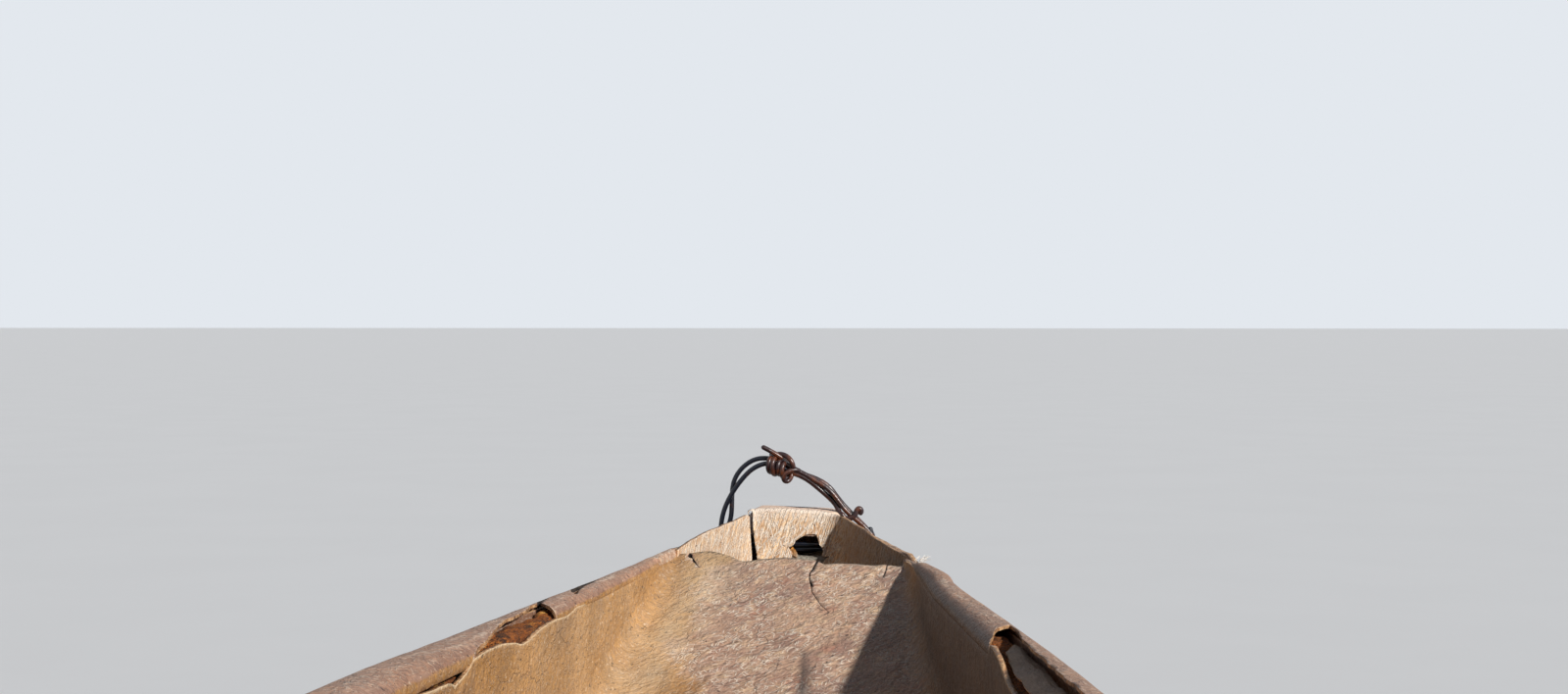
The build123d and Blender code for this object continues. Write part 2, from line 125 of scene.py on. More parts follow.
def steady_curve(places, values, at):
    """Cubic through the points that never overshoots them.

    Between two points it is the Hermite cubic whose end slopes are the harmonic mean of
    the slopes on both sides, or nothing where those differ in sign.
    """
    run = np.diff(places)
    rise = np.diff(values) / run
    product = rise[:-1] * rise[1:]
    both = np.where(product > 0, rise[:-1] + rise[1:], 1.0)
    middle = np.where(product > 0, 2 * product / both, 0.0)
    slope = np.concatenate([rise[:1], middle, [rise[-1]]])
    at = np.clip(at, places[0], places[-1])
    cell = np.clip(np.searchsorted(places, at) - 1, 0, len(run) - 1)
    part = (at - places[cell]) / run[cell]
    rest = 1 - part
    start = values[cell] * rest**2 * (1 + 2 * part) + run[cell] * slope[cell] * part * rest**2
    end = values[cell + 1] * part**2 * (3 - 2 * part) - run[cell] * slope[cell + 1] * part**2 * rest
    return start + end


def share(distance, column):
    """One column of the station table at any distances from the stem."""
    return steady_curve(STATIONS[:, 0], STATIONS[:, column], distance)


def half_beam(distance):
    """Half width of the hull at the sheer."""
    return HALF_BEAM * share(distance, 1)


def sheer(distance):
    """Height of the top of the sides, which rises to both stems."""
    return DEPTH + SHEER_RISE * share(distance, 2)


def keel(distance):
    """Height of the flat bottom, which rises to both stems."""
    return KEEL_RISE * share(distance, 3) - BOTTOM_TRIM


def side_lean(distance):
    """How much further out a side stands for each metre that it goes down."""
    return TUMBLEHOME * share(distance, 4) / (sheer(distance) - keel(distance))


def stem_distance(x):
    """Distance of a place along the hull from the nearer stem."""
    return LENGTH / 2 - np.abs(x)


def smooth_step(low, high, at):
    """Nothing below low, 1 above high, and an S between them."""
    part = np.clip((at - low) / (high - low), 0, 1)
    return part * part * (3 - 2 * part)


def between(rising, falling, at):
    """1 inside a stretch and nothing outside: an S up over one pair of places, down over another."""
    return smooth_step(*rising, at) * smooth_step(*falling, at)


def hash_noise(cells, seed):
    """Seeded random value from -1 to 1 for each whole number in an array."""
    mixed = np.sin(cells * 127.1 + seed * 311.7) * 43758.5453
    return 2 * (mixed - np.floor(mixed)) - 1


def wave_noise(at, size, seed):
    """Smooth random curve: random values one size apart, joined by S curves."""
    place = at / size
    cell = np.floor(place)
    part = smooth_step(0, 1, place - cell)
    return hash_noise(cell, seed) * (1 - part) + hash_noise(cell + 1, seed) * part


def rough_noise(at, size, seed, octaves=4):
    """Sum of wave noises, each half as large and half as high as the last."""
    total = np.zeros_like(at)
    for octave in range(octaves):
        total = total + wave_noise(at, size / 2**octave, seed + octave) / 2**octave
    return total / 2


def cloud_noise(across, along, size, seed):
    """Smooth random surface: random values at the corners of square cells, joined by S curves."""
    cell_a, cell_b = np.floor(across / size), np.floor(along / size)
    part_a = smooth_step(0, 1, across / size - cell_a)
    part_b = smooth_step(0, 1, along / size - cell_b)

    def edge(step):
        low, high = (hash_noise(cell_a + step + (cell_b + up) * 57.0, seed) for up in (0, 1))
        return low * (1 - part_b) + high * part_b

    return edge(0) * (1 - part_a) + edge(1) * part_a


def spaced(*runs):
    """Places along a line: each run is (start, end, largest step)."""
    parts = []
    for start, end, step in runs:
        count = int(np.ceil(abs(end - start) / step)) + 1
        parts.append(np.linspace(start, end, count)[:-1])
    return np.concatenate(parts + [[runs[-1][1]]])


def both_ends(distance):
    """Column of stations along X from the bow to the stern, at the same distances from both stems."""
    bow = LENGTH / 2 - distance
    return np.concatenate([bow, -bow[-2::-1]])[:, None]


def joined(*places):
    """Points from their places along each axis, spread over one grid."""
    return np.stack(np.broadcast_arrays(*places), axis=-1)


def bell(at, width, power=2):
    """1 at the middle, falling off as exp(-(at / width)^power)."""
    return np.exp(-((at / width) ** power))


def superellipse(turn, power):
    """Places (a, b) on |a|^power + |b|^power = 1 at a turn in radians."""
    circle = np.stack([np.cos(turn), np.sin(turn)])
    return np.sign(circle) * np.abs(circle) ** (2 / power)


def run_length(path):
    """Length along a broken line up to each of its points."""
    return np.concatenate([[0], np.cumsum(np.linalg.norm(np.diff(path, axis=0), axis=1))])


def heading(path):
    """Direction of a line at each of its points, one long."""
    ahead = np.gradient(path, axis=0)
    return ahead / np.linalg.norm(ahead, axis=1)[:, None]


def new_object(name, data):
    """Object of a mesh, a lamp or a camera, linked into the scene."""
    made = bpy.data.objects.new(name, data)
    bpy.context.scene.collection.objects.link(made)
    return made


def grid_piece(name, points, surface, materials, marks=None, flip=False, closed=False):
    """Object made of one quad between each four neighbours of a grid of points.

    points has rows, columns and 3 places, surface has metres along and across for the UV
    map, marks is a dictionary of attributes with one value a point. closed joins the last
    column to the first.
    """
    rows, columns = points.shape[:2]
    index = np.arange(rows * columns, dtype=np.int32).reshape(rows, columns)
    if closed:
        index = np.concatenate([index, index[:, :1]], axis=1)
    corners = index[:-1, :-1], index[1:, :-1], index[1:, 1:], index[:-1, 1:]
    quads = joined(*corners).reshape(-1, 4)
    if flip:
        quads = quads[:, ::-1]
    mesh = bpy.data.meshes.new(name)
    mesh.vertices.add(rows * columns)
    mesh.vertices.foreach_set("co", points.astype(np.float32).ravel())
    mesh.loops.add(quads.size)
    mesh.loops.foreach_set("vertex_index", quads.astype(np.int32).ravel())
    mesh.polygons.add(len(quads))
    mesh.polygons.foreach_set("loop_start", np.arange(0, quads.size, 4, dtype=np.int32))
    mesh.polygons.foreach_set("use_smooth", np.ones(len(quads), dtype=bool))
    layer = mesh.uv_layers.new(name="surface")
    flat = surface.reshape(-1, 2)[quads.ravel()]
    layer.uv.foreach_set("vector", flat.astype(np.float32).ravel())
    for key, values in (marks or {}).items():
        attribute = mesh.attributes.new(key, "FLOAT", "POINT")
        values = np.broadcast_to(values, (rows, columns)).astype(np.float32)
        attribute.data.foreach_set("value", values.ravel())
    mesh.update(calc_edges=True)
    for material in materials:
        mesh.materials.append(material)
    return new_object(name, mesh)


def thicken(piece, thickness, edge_material=0):
    """Gives a sheet its wall, behind its face, with the edge in another of its materials."""
    wall = piece.modifiers.new("wall", "SOLIDIFY")
    wall.thickness = thickness
    wall.offset = -1
    wall.use_even_offset = False
    wall.material_offset_rim = edge_material
    return piece


def settle(piece):
    """Makes a piece's modifiers final."""
    graph = bpy.context.evaluated_depsgraph_get()
    mesh = bpy.data.meshes.new_from_object(piece.evaluated_get(graph), depsgraph=graph)
    piece.modifiers.clear()
    old = piece.data
    piece.data = mesh
    bpy.data.meshes.remove(old)
    return piece


def outward(block):
    """Turns a closed block's faces outwards."""
    shape = bmesh.new()
    shape.from_mesh(block.data)
    bmesh.ops.recalc_face_normals(shape, faces=shape.faces)
    if shape.calc_volume(signed=True) < 0:
        bmesh.ops.reverse_faces(shape, faces=shape.faces)
    shape.to_mesh(block.data)
    shape.free()
    return block


def bite(piece, outline, low, high, to_space, material):
    """Cuts a flat outline out of a piece, through from low to high, with cut faces of a material.

    to_space(a, b, depth) gives the outline's points in space.
    """
    count = len(outline)
    a, b = np.array(outline).T
    ends = np.concatenate([to_space(a, b, low), to_space(a, b, high)])
    sides = [(i, (i + 1) % count, count + (i + 1) % count, count + i) for i in range(count)]
    faces = [tuple(range(count))[::-1], tuple(range(count, 2 * count))] + sides
    mesh = bpy.data.meshes.new("block")
    mesh.from_pydata(ends.tolist(), [], faces)
    mesh.materials.append(material)
    block = outward(new_object("block", mesh))
    cut = piece.modifiers.new("bite", "BOOLEAN")
    cut.operation = "DIFFERENCE"
    cut.solver = "MANIFOLD"
    cut.material_mode = "TRANSFER"
    cut.object = block
    settle(piece)
    bpy.data.objects.remove(block)
    return piece


# Materials


def linear(code):
    """Linear colour of an sRGB hex code."""
    value = np.array([int(code[i:i + 2], 16) for i in (1, 3, 5)]) / 255
    low, high = value / 12.92, ((value + 0.055) / 1.055) ** 2.4
    return (*np.where(value <= 0.04045, low, high), 1.0)


def add(tree, kind, *inputs, out=0, **settings):
    """Adds a node with its settings, sets or links its inputs in their order, gives an output.

    An input of None keeps its default, a hex code becomes its linear colour.
    """
    node = tree.nodes.new("ShaderNode" + kind)
    for key, value in settings.items():
        setattr(node, key, value)
    sockets = [socket for socket in node.inputs if socket.enabled]
    for socket, value in zip(sockets, inputs):
        if isinstance(value, bpy.types.NodeSocket):
            tree.links.new(value, socket)
        elif isinstance(value, str):
            socket.default_value = linear(value)
        elif value is not None:
            socket.default_value = value
    return [socket for socket in node.outputs if socket.enabled][out]


def start_finish(name, roughness, ior=1.5, in_space=False):
    """New material with its shader's plain values, and the place that its patterns are laid by.

    The place is the surface's UV in metres, or the place in space.
    """
    material = bpy.data.materials.new(name)
    material.use_nodes = True
    tree = material.node_tree
    shader = tree.nodes["Principled BSDF"]
    shader.inputs["Roughness"].default_value = roughness
    shader.inputs["IOR"].default_value = ior
    if in_space:
        return material, add(tree, "TexCoord", out=3)
    return material, add(tree, "UVMap", uv_map="surface")


def finish(material, colour, height, depth):
    """Gives the shader its colour, and its height pattern as bumps of a depth in metres."""
    tree = material.node_tree
    shader = tree.nodes["Principled BSDF"]
    tree.links.new(colour, shader.inputs["Base Color"])
    tree.links.new(add(tree, "Bump", 1.0, depth, None, height), shader.inputs["Normal"])
    return material


def clouds(place, size, low, high, stretch=(1, 1), turn=0, detail=4.0, seed=0.0):
    """Patches about one size across, 0 where their noise is under low and 1 over high.

    They are stretched along and across a direction turned by so many degrees in the
    surface.
    """
    tree = place.id_data
    shift = (seed * 0.37, seed * 0.53, seed)
    laid = add(tree, "Mapping", place, shift, (0, 0, np.radians(turn)), (*stretch, 1), vector_type="TEXTURE")
    grain = add(tree, "TexNoise", laid, 1 / size, detail, 0.6)
    return add(tree, "MapRange", grain, low, high, interpolation_type="SMOOTHSTEP")


def fibres(place, turns, length, width, kept):
    """Short straight strands of a chopped mat: 1 on a strand, 0 off it.

    For each turn the surface is divided into cells about one length by two widths, and a
    strand lies along the middle of each cell whose random value is above what is kept.
    Real strands are finer than the photograph's pixels, so these are drawn wider.
    """
    tree = place.id_data
    total = None
    for number, turn in enumerate(turns):
        laid = add(
            tree, "Mapping", place, (0.013 * number, 0.007 * number, 0), (0, 0, np.radians(turn)),
            (length, width * 2, 1), vector_type="TEXTURE",
        )
        near = add(tree, "TexVoronoi", laid, 1.0, voronoi_dimensions="2D")
        chance = add(tree, "TexVoronoi", laid, 1.0, voronoi_dimensions="2D", out=1)
        core = add(tree, "MapRange", near, 0.40, 0.16, interpolation_type="SMOOTHSTEP")
        chosen = add(tree, "MapRange", add(tree, "SeparateColor", chance), kept, kept + 0.1)
        strand = add(tree, "Math", core, chosen, operation="MULTIPLY")
        total = strand if total is None else add(tree, "Math", total, strand, operation="MAXIMUM")
    return total


def crazing(place, size, width):
    """Fine wandering cracks between cells of a size: 1 on a crack, 0 off it."""
    tree = place.id_data
    bend = add(tree, "TexNoise", place, 1.6 / size, 3.0, 0.6, out=1)
    moved = add(tree, "VectorMath", bend, (size * 0.9, size * 0.9, 0), place, operation="MULTIPLY_ADD")
    edge = add(tree, "TexVoronoi", moved, 1 / size, voronoi_dimensions="2D", feature="DISTANCE_TO_EDGE")
    return add(tree, "MapRange", edge, width / size, 0.0)


def coat(colour, *layers):
    """Lays colours over a colour in turn: each layer is a mask, how much of it shows, a colour."""
    for mask, amount, over in layers:
        shown = add(mask.id_data, "Math", mask, amount, operation="MULTIPLY", use_clamp=True)
        colour = add(mask.id_data, "Mix", shown, colour, over, data_type="RGBA")
    return colour


def gather(*heights):
    """Sum of patterns, each times its own height."""
    total = 0.0
    for pattern, height in heights:
        total = add(pattern.id_data, "Math", pattern, height, total, operation="MULTIPLY_ADD")
    return total


def mat_skin():
    """Chopped-strand glass mat in polyester resin, hand laid, worn by feet, sun and water.

    On the ramp and floor it is greyish tan with pink and ochre clouds, white where the
    strands of the mat, 6 to 12 mm long, are bared, and pitted. The sides have kept their
    ochre resin, streaked where water ran down. Over the rims a pinkish-brown gelcoat is
    left, rubbed pale on their crests. Attributes say which is where: wall, rim, crest,
    pale, stain, and the painted shade, dark brown, on the side that lies in the shade.
    """
    material, place = start_finish("glass_mat_skin", 0.62, 1.52)
    tree = place.id_data
    wall, rim, crest, pale, stain, painted_shade = (
        add(tree, "Attribute", attribute_name=name, out=2)
        for name in ("wall", "rim", "crest", "pale", "stain", "painted_shade")
    )
    broad = clouds(place, 0.120, 0.40, 0.62)
    patch = clouds(place, 0.045, 0.44, 0.66, seed=1.0)
    blotch = clouds(place, 0.018, 0.46, 0.70, seed=2.0)
    speck = clouds(place, 0.0045, 0.40, 0.64, seed=3.0)
    grit = clouds(place, 0.0022, 0.40, 0.64, detail=2.0, seed=4.0)
    glint = clouds(place, 0.0034, 0.62, 0.72, detail=2.0, seed=15.0)
    pits = clouds(place, 0.0055, 0.66, 0.72, detail=2.0, seed=5.0)
    tread = coat(
        "#C4A085",
        (broad, 0.8, "#A98773"), (patch, 0.85, "#927265"), (blotch, 0.8, "#DCBC98"),
        (clouds(place, 0.030, 0.54, 0.70, seed=6.0), 0.6, "#B0755C"), (speck, 0.45, "#7F6253"),
    )
    run_off = clouds(place, 0.050, 0.40, 0.64, (0.5, 1.6), 35, seed=7.0)
    side = coat(
        "#AD7D41",
        (run_off, 0.7, "#906838"), (clouds(place, 0.080, 0.46, 0.66, seed=8.0), 0.8, "#C79559"),
        (clouds(place, 0.007, 0.44, 0.72, (0.6, 2.4), 35, seed=9.0), 0.45, "#B0855A"),
        (clouds(place, 0.045, 0.52, 0.68, seed=10.0), 0.65, "#8C6B4A"), (speck, 0.28, "#8A6540"),
    )
    scuff = clouds(place, 0.009, 0.48, 0.72, (5.0, 0.7), seed=11.0)
    gel = coat(
        "#AC8166",
        (broad, 0.8, "#936C55"), (patch, 0.6, "#9B7B6C"), (scuff, 0.6, "#C8A48B"), (blotch, 0.5, "#79594A"),
        (clouds(place, 0.012, 0.60, 0.72, seed=12.0), 0.6, "#5E4439"), (speck, 0.35, "#6B5044"),
    )
    worn = add(tree, "Math", crest, gather((speck, 0.35), (scuff, 0.35)), operation="MULTIPLY")
    worn = add(tree, "MapRange", worn, 0.14, 0.44)
    gel = coat(gel, (worn, 0.9, "#E6D0BA"), (crest, 0.22, "#CFAB92"))
    ragged = add(tree, "Math", wall, gather((patch, 0.25), (blotch, 0.12)), operation="ADD")
    sides = add(tree, "MapRange", ragged, 0.35, 0.95, interpolation_type="SMOOTHSTEP")
    edge = gather((patch, 0.22), (speck, 0.10), (rim, 1.0))
    rims = add(tree, "MapRange", edge, 0.45, 0.95, interpolation_type="SMOOTHSTEP")
    colour = coat(tread, (sides, 1.0, side), (rims, 1.0, gel))
    covered = gather((sides, 0.8), (rims, 0.75))
    bare = add(tree, "Math", 1.0, covered, operation="SUBTRACT", use_clamp=True)
    mat = fibres(place, (14, 49, 83, 121, 157), 0.0110, 0.0009, 0.76)
    strewn = add(tree, "Math", mat, clouds(place, 0.05, 0.34, 0.56, seed=13.0), operation="MULTIPLY")
    shown = add(tree, "Math", strewn, bare, operation="MULTIPLY")
    craze = add(tree, "Math", crazing(place, 0.055, 0.0011), broad, operation="MULTIPLY")
    rust = clouds(place, 0.010, 0.72, 0.78, detail=2.0, seed=14.0)
    # The dark brown laid over the starboard bow walls and rim is painted shade.
    colour = coat(
        colour,
        (glint, 0.55, "#E9D3B8"), (shown, 0.75, "#F1E4D2"), (grit, 0.32, "#6A5042"), (pits, 0.75, "#432E24"),
        (craze, 0.6, "#5F4639"), (rust, 0.55, "#9C4F36"), (painted_shade, 0.88, "#30231B"), (pale, 0.9, "#F0D9B4"),
        (stain, 1.0, "#2B211C"),
    )
    height = gather((mat, 0.25), (speck, 0.40), (patch, 0.9), (blotch, 0.5), (pits, -0.8), (craze, -0.5))
    return finish(material, colour, height, 0.0014)


def mat_chamber():
    """Thin glass laminate of the bow chamber, laid on a smooth mould and bleached by the sun.

    Pale warm tan, with slanting streaks where the strands were pulled tight, tan and white,
    and a few pin holes. The starboard side, which lies in the shade, is darkened by painted
    shade, and the far port side a little. The streaks and the white hairs are drawn wider
    than real strands, so that they show from the camera.
    """
    material, place = start_finish("bleached_laminate", 0.60, 1.52)
    tree = place.id_data
    pale = add(tree, "Attribute", attribute_name="pale", out=2)
    streak = clouds(place, 0.0042, 0.42, 0.60, (0.5, 14.0), -18, detail=1.5, seed=1.0)
    slant = clouds(place, 0.0052, 0.52, 0.66, (0.4, 14.0), -48, detail=1.5, seed=2.0)
    shade_and_grime = add(tree, "Attribute", attribute_name="shade_and_grime", out=2)
    hairs = fibres(place, (60, 72, 84, 99, 40), 0.0140, 0.0007, 0.60)
    grit = clouds(place, 0.0022, 0.42, 0.64, detail=2.0, seed=3.0)
    pits = clouds(place, 0.0045, 0.68, 0.73, detail=2.0, seed=4.0)
    # The brown over the starboard side is painted shade; the far port side is darkened a little too.
    colour = coat(
        "#FFDDB4",
        (clouds(place, 0.050, 0.42, 0.66, seed=5.0), 0.6, "#DDB68F"),
        (clouds(place, 0.014, 0.50, 0.70, seed=6.0), 0.5, "#CC9B6F"),
        (streak, 0.75, "#B78A62"), (slant, 0.6, "#FFEFDA"), (hairs, 0.80, "#FFF8EC"), (grit, 0.32, "#7A5843"),
        (pits, 0.8, "#432C20"), (shade_and_grime, 0.65, "#7A5940"), (pale, 0.75, "#EFDFCF"),
    )
    height = gather((hairs, 0.4), (streak, 0.7), (slant, 0.4), (pits, -0.8))
    return finish(material, colour, height, 0.0009)


def mat_cap():
    """Chalked gelcoat of the end blocks: pale pinkish grey where the sun falls on it all day."""
    material, place = start_finish("chalked_gelcoat", 0.7, 1.5)
    speck = clouds(place, 0.0045, 0.40, 0.66, seed=1.0)
    colour = coat(
        "#F6D6BC",
        (clouds(place, 0.030, 0.42, 0.64, seed=2.0), 0.5, "#DDB9A5"), (speck, 0.4, "#F3DFCF"),
        (clouds(place, 0.008, 0.62, 0.72, seed=3.0), 0.5, "#8D7265"),
    )
    return finish(material, colour, speck, 0.0006)


def mat_hull():
    """Outside gelcoat of the hull: dull brown, scuffed along its length, dark with slime low down.

    The band is mixed in by height above the waterline, and its edge wanders by 20 mm.
    """
    material, place = start_finish("hull_gelcoat", 0.55, 1.5)
    tree = place.id_data
    spot = add(tree, "TexCoord", out=3)
    level = add(tree, "SeparateXYZ", spot, out=2)
    scuff = clouds(place, 0.012, 0.52, 0.74, (8.0, 0.5), seed=1.0)
    speck = clouds(place, 0.0050, 0.40, 0.66, seed=2.0)
    patch = clouds(place, 0.060, 0.44, 0.66, (2.0, 1.0), seed=3.0)
    chips = clouds(place, 0.010, 0.70, 0.74, (1.6, 1.0), seed=4.0)
    uneven = gather((patch, 0.020), (speck, 0.008), (level, 1.0))
    wet = add(tree, "MapRange", uneven, WATERLINE + 0.070, WATERLINE + 0.020)
    fibre = fibres(place, (10, 50, 95, 140), 0.0100, 0.0009, 0.74)
    colour = coat(
        "#86634E",
        (clouds(place, 0.200, 0.40, 0.64, (2.0, 1.0), seed=5.0), 0.8, "#715241"),
        (patch, 0.6, "#967663"), (scuff, 0.8, "#AE917B"), (speck, 0.35, "#5F4537"),
        (fibre, 0.35, "#D8C8B4"), (chips, 0.6, "#C7AC8A"), (wet, 0.85, "#443D2D"),
    )
    height = gather((speck, 0.4), (scuff, 0.5), (patch, 0.6), (chips, -0.5))
    return finish(material, colour, height, 0.0012)


def mat_broken():
    """Broken edge of the laminate: amber resin, bright where light comes through, and torn glass."""
    material, place = start_finish("broken_laminate", 0.5, 1.55, in_space=True)
    torn = clouds(place, 0.004, 0.38, 0.62)
    dull = clouds(place, 0.012, 0.46, 0.62)
    colour = coat("#A06F45", (torn, 0.7, "#D9B486"), (dull, 0.8, "#5E3E28"))
    return finish(material, colour, torn, 0.0008)


def mat_cavity():
    """Raw resin out of the light, inside the rims, the holes and the bow block, painted nearly black as
    painted shade.
    """
    material, place = start_finish("painted_shade_resin", 0.8, in_space=True)
    shade_and_grime = clouds(place, 0.006, 0.38, 0.66)
    # The near-black colour is painted shade for faces out of the light.
    colour = coat("#241C18", (shade_and_grime, 0.8, "#43362D"))
    return finish(material, colour, shade_and_grime, 0.001)


def mat_block_fill():
    """Rough grey mix of resin and chopped glass poured into the bow block, with a lump in bright amber, a
    painted pool of sunlight.
    """
    material, place = start_finish("resin_fill", 0.75, in_space=True)
    lit_lump = add(place.id_data, "Attribute", attribute_name="lit_lump", out=2)
    lumps = clouds(place, 0.006, 0.38, 0.66)
    # The bright amber on the lump is a painted pool of sunlight.
    colour = coat("#A7A092", (lumps, 0.7, "#736B5E"), (lit_lump, 1.0, "#D08A2E"), (lit_lump, lumps, "#6B4219"))
    return finish(material, colour, lumps, 0.0015)


def mat_foam():
    """Aged polyurethane foam, blown in place, crumbled to open cells, burnt orange-brown by the sun."""
    material, place = start_finish("aged_foam", 0.95, 1.45)
    tree = place.id_data
    lumps = clouds(place, 0.014, 0.40, 0.64, seed=1.0)
    crumbs = clouds(place, 0.004, 0.40, 0.64, seed=2.0)
    cells = add(tree, "TexVoronoi", place, 1 / 0.0022, voronoi_dimensions="2D")
    pores = add(tree, "MapRange", cells, 0.32, 0.10)
    colour = coat(
        "#A0591F",
        (lumps, 0.8, "#5F331A"), (clouds(place, 0.018, 0.56, 0.68, seed=3.0), 0.85, "#CF9B4C"),
        (clouds(place, 0.013, 0.57, 0.64, seed=4.0), 0.9, "#1F1410"), (crumbs, 0.4, "#BC7434"),
        (pores, 0.5, "#2C1A14"),
    )
    height = gather((lumps, 1.0), (crumbs, 0.5), (pores, -0.3))
    return finish(material, colour, height, 0.0025)


def mat_flap():
    """Inner half of the torn rim: bare laminate, weathered grey-brown and stained."""
    material, place = start_finish("weathered_laminate", 0.7, 1.52)
    speck = clouds(place, 0.004, 0.38, 0.66, seed=1.0)
    grain = clouds(place, 0.006, 0.42, 0.68, (5.0, 0.7), seed=2.0)
    colour = coat(
        "#7B6450",
        (clouds(place, 0.030, 0.42, 0.64, seed=3.0), 0.8, "#58463A"), (grain, 0.5, "#957C66"),
        (speck, 0.35, "#584840"), (clouds(place, 0.02, 0.62, 0.76, seed=4.0), 0.7, "#BFAA92"),
    )
    return finish(material, colour, gather((speck, 0.5), (grain, 0.6)), 0.0010)


def mat_wire(name, steel, rust, share_rusted):
    """Annealed iron tie wire: drawn smooth, with black scale, rusted brown and rubbed shiny."""
    material, place = start_finish(name, 0.30, 1.45, in_space=True)
    fine = clouds(place, 0.0030, 0.44, 0.70, detail=2.0)
    broad = clouds(place, 0.014, 0.62 - share_rusted, 0.82 - share_rusted)
    colour = coat(
        steel,
        (broad, 0.9, rust), (fine, 0.18, "#201312"), (clouds(place, 0.006, 0.64, 0.80), 0.4, "#7E4526"),
    )
    return finish(material, colour, fine, 0.00008)


def mat_fray():
    """Loose white glass strands, drawn from the melt, at a torn edge."""
    material, place = start_finish("glass_strands", 0.35, 1.55, in_space=True)
    colour = coat("#F6F2EA", (clouds(place, 0.003, 0.4, 0.6), 0.6, "#D9D2C6"))
    return finish(material, colour, add(place.id_data, "TexNoise", place, 800.0), 0.0001)


def mat_floor():
    """Plain pale studio floor, matt."""
    material, place = start_finish("studio_floor", 0.9, in_space=True)
    grain = clouds(place, 0.4, 0.3, 0.7)
    colour = coat("#E8EBED", (grain, 0.4, "#E4E7E9"))
    return finish(material, colour, grain, 0.0001)


SKIN = mat_skin()
CHAMBER = mat_chamber()
CAP = mat_cap()
HULL_SIDE = mat_hull()
BROKEN = mat_broken()
CAVITY = mat_cavity()
FILL = mat_block_fill()
FOAM = mat_foam()
FLAP_SHEET = mat_flap()
WIRE_DARK = mat_wire("scaled_wire", "#0F141F", "#241A1C", 0.06)
WIRE_RUST = mat_wire("rusted_wire", "#2C1A1B", "#5C311D", 0.17)
FRAY = mat_fray()
FLOOR = mat_floor()


# Hull skins


def side_sections(top, low, half, radius, lean, columns):
    """Half sections from the top of a side round its bilge to the middle of its bottom.

    A section is a straight side from (half, top) that spreads by lean a metre going down,
    an arc of the given radius tangent to it and to the flat bottom at low, and the bottom.
    The measures are columns with one row a station, and columns gives the number of points
    on the side, the arc and the bottom. Returns rows, columns and (y, z).
    """
    on_side, on_arc, on_floor = columns
    tilt = np.arctan(lean)
    foot = half + lean * (top - low)
    radius = np.minimum(radius, 0.9 * (top - low))
    setback = radius / np.tan((np.pi / 2 - tilt) / 2)
    t = np.linspace(0, 1, on_side) ** 2
    side_y = half * (1 - t) + (foot - setback * np.sin(tilt)) * t
    side_z = top * (1 - t) + (low + setback * np.cos(tilt)) * t
    turn = tilt + (-np.pi / 2 - tilt) * np.linspace(0, 1, on_arc)[1:]
    floor_y = (foot - setback) * (1 - np.linspace(0, 1, on_floor)[1:])
    y = np.concatenate([side_y, foot - setback + radius * np.cos(turn), floor_y], axis=1)
    z = np.concatenate([side_z, low + radius + radius * np.sin(turn), low + 0 * floor_y], axis=1)
    return joined(y, z)


def whole_sections(x, port, starboard):
    """Both sides of each section, port first, as points in space."""
    both = np.concatenate([port, starboard[:, -2::-1] * (-1, 1)], axis=1)
    return joined(x, both[..., 0], both[..., 1])


def along_and_across(points):
    """UV in metres: the place along X, and the length round the section from its first point."""
    steps = np.linalg.norm(np.diff(points[..., 1:], axis=1), axis=-1)
    round_it = np.concatenate([np.zeros((len(points), 1)), np.cumsum(steps, axis=1)], axis=1)
    return joined(points[..., 0], round_it)


# Rounding of the stems, and half width and half height of the wire's eyes in the bow
STEM_ROUND = 17 * MM
EYE = np.array([8.2, 8.0]) * MM
EYE_LEVEL = 374.5 * MM


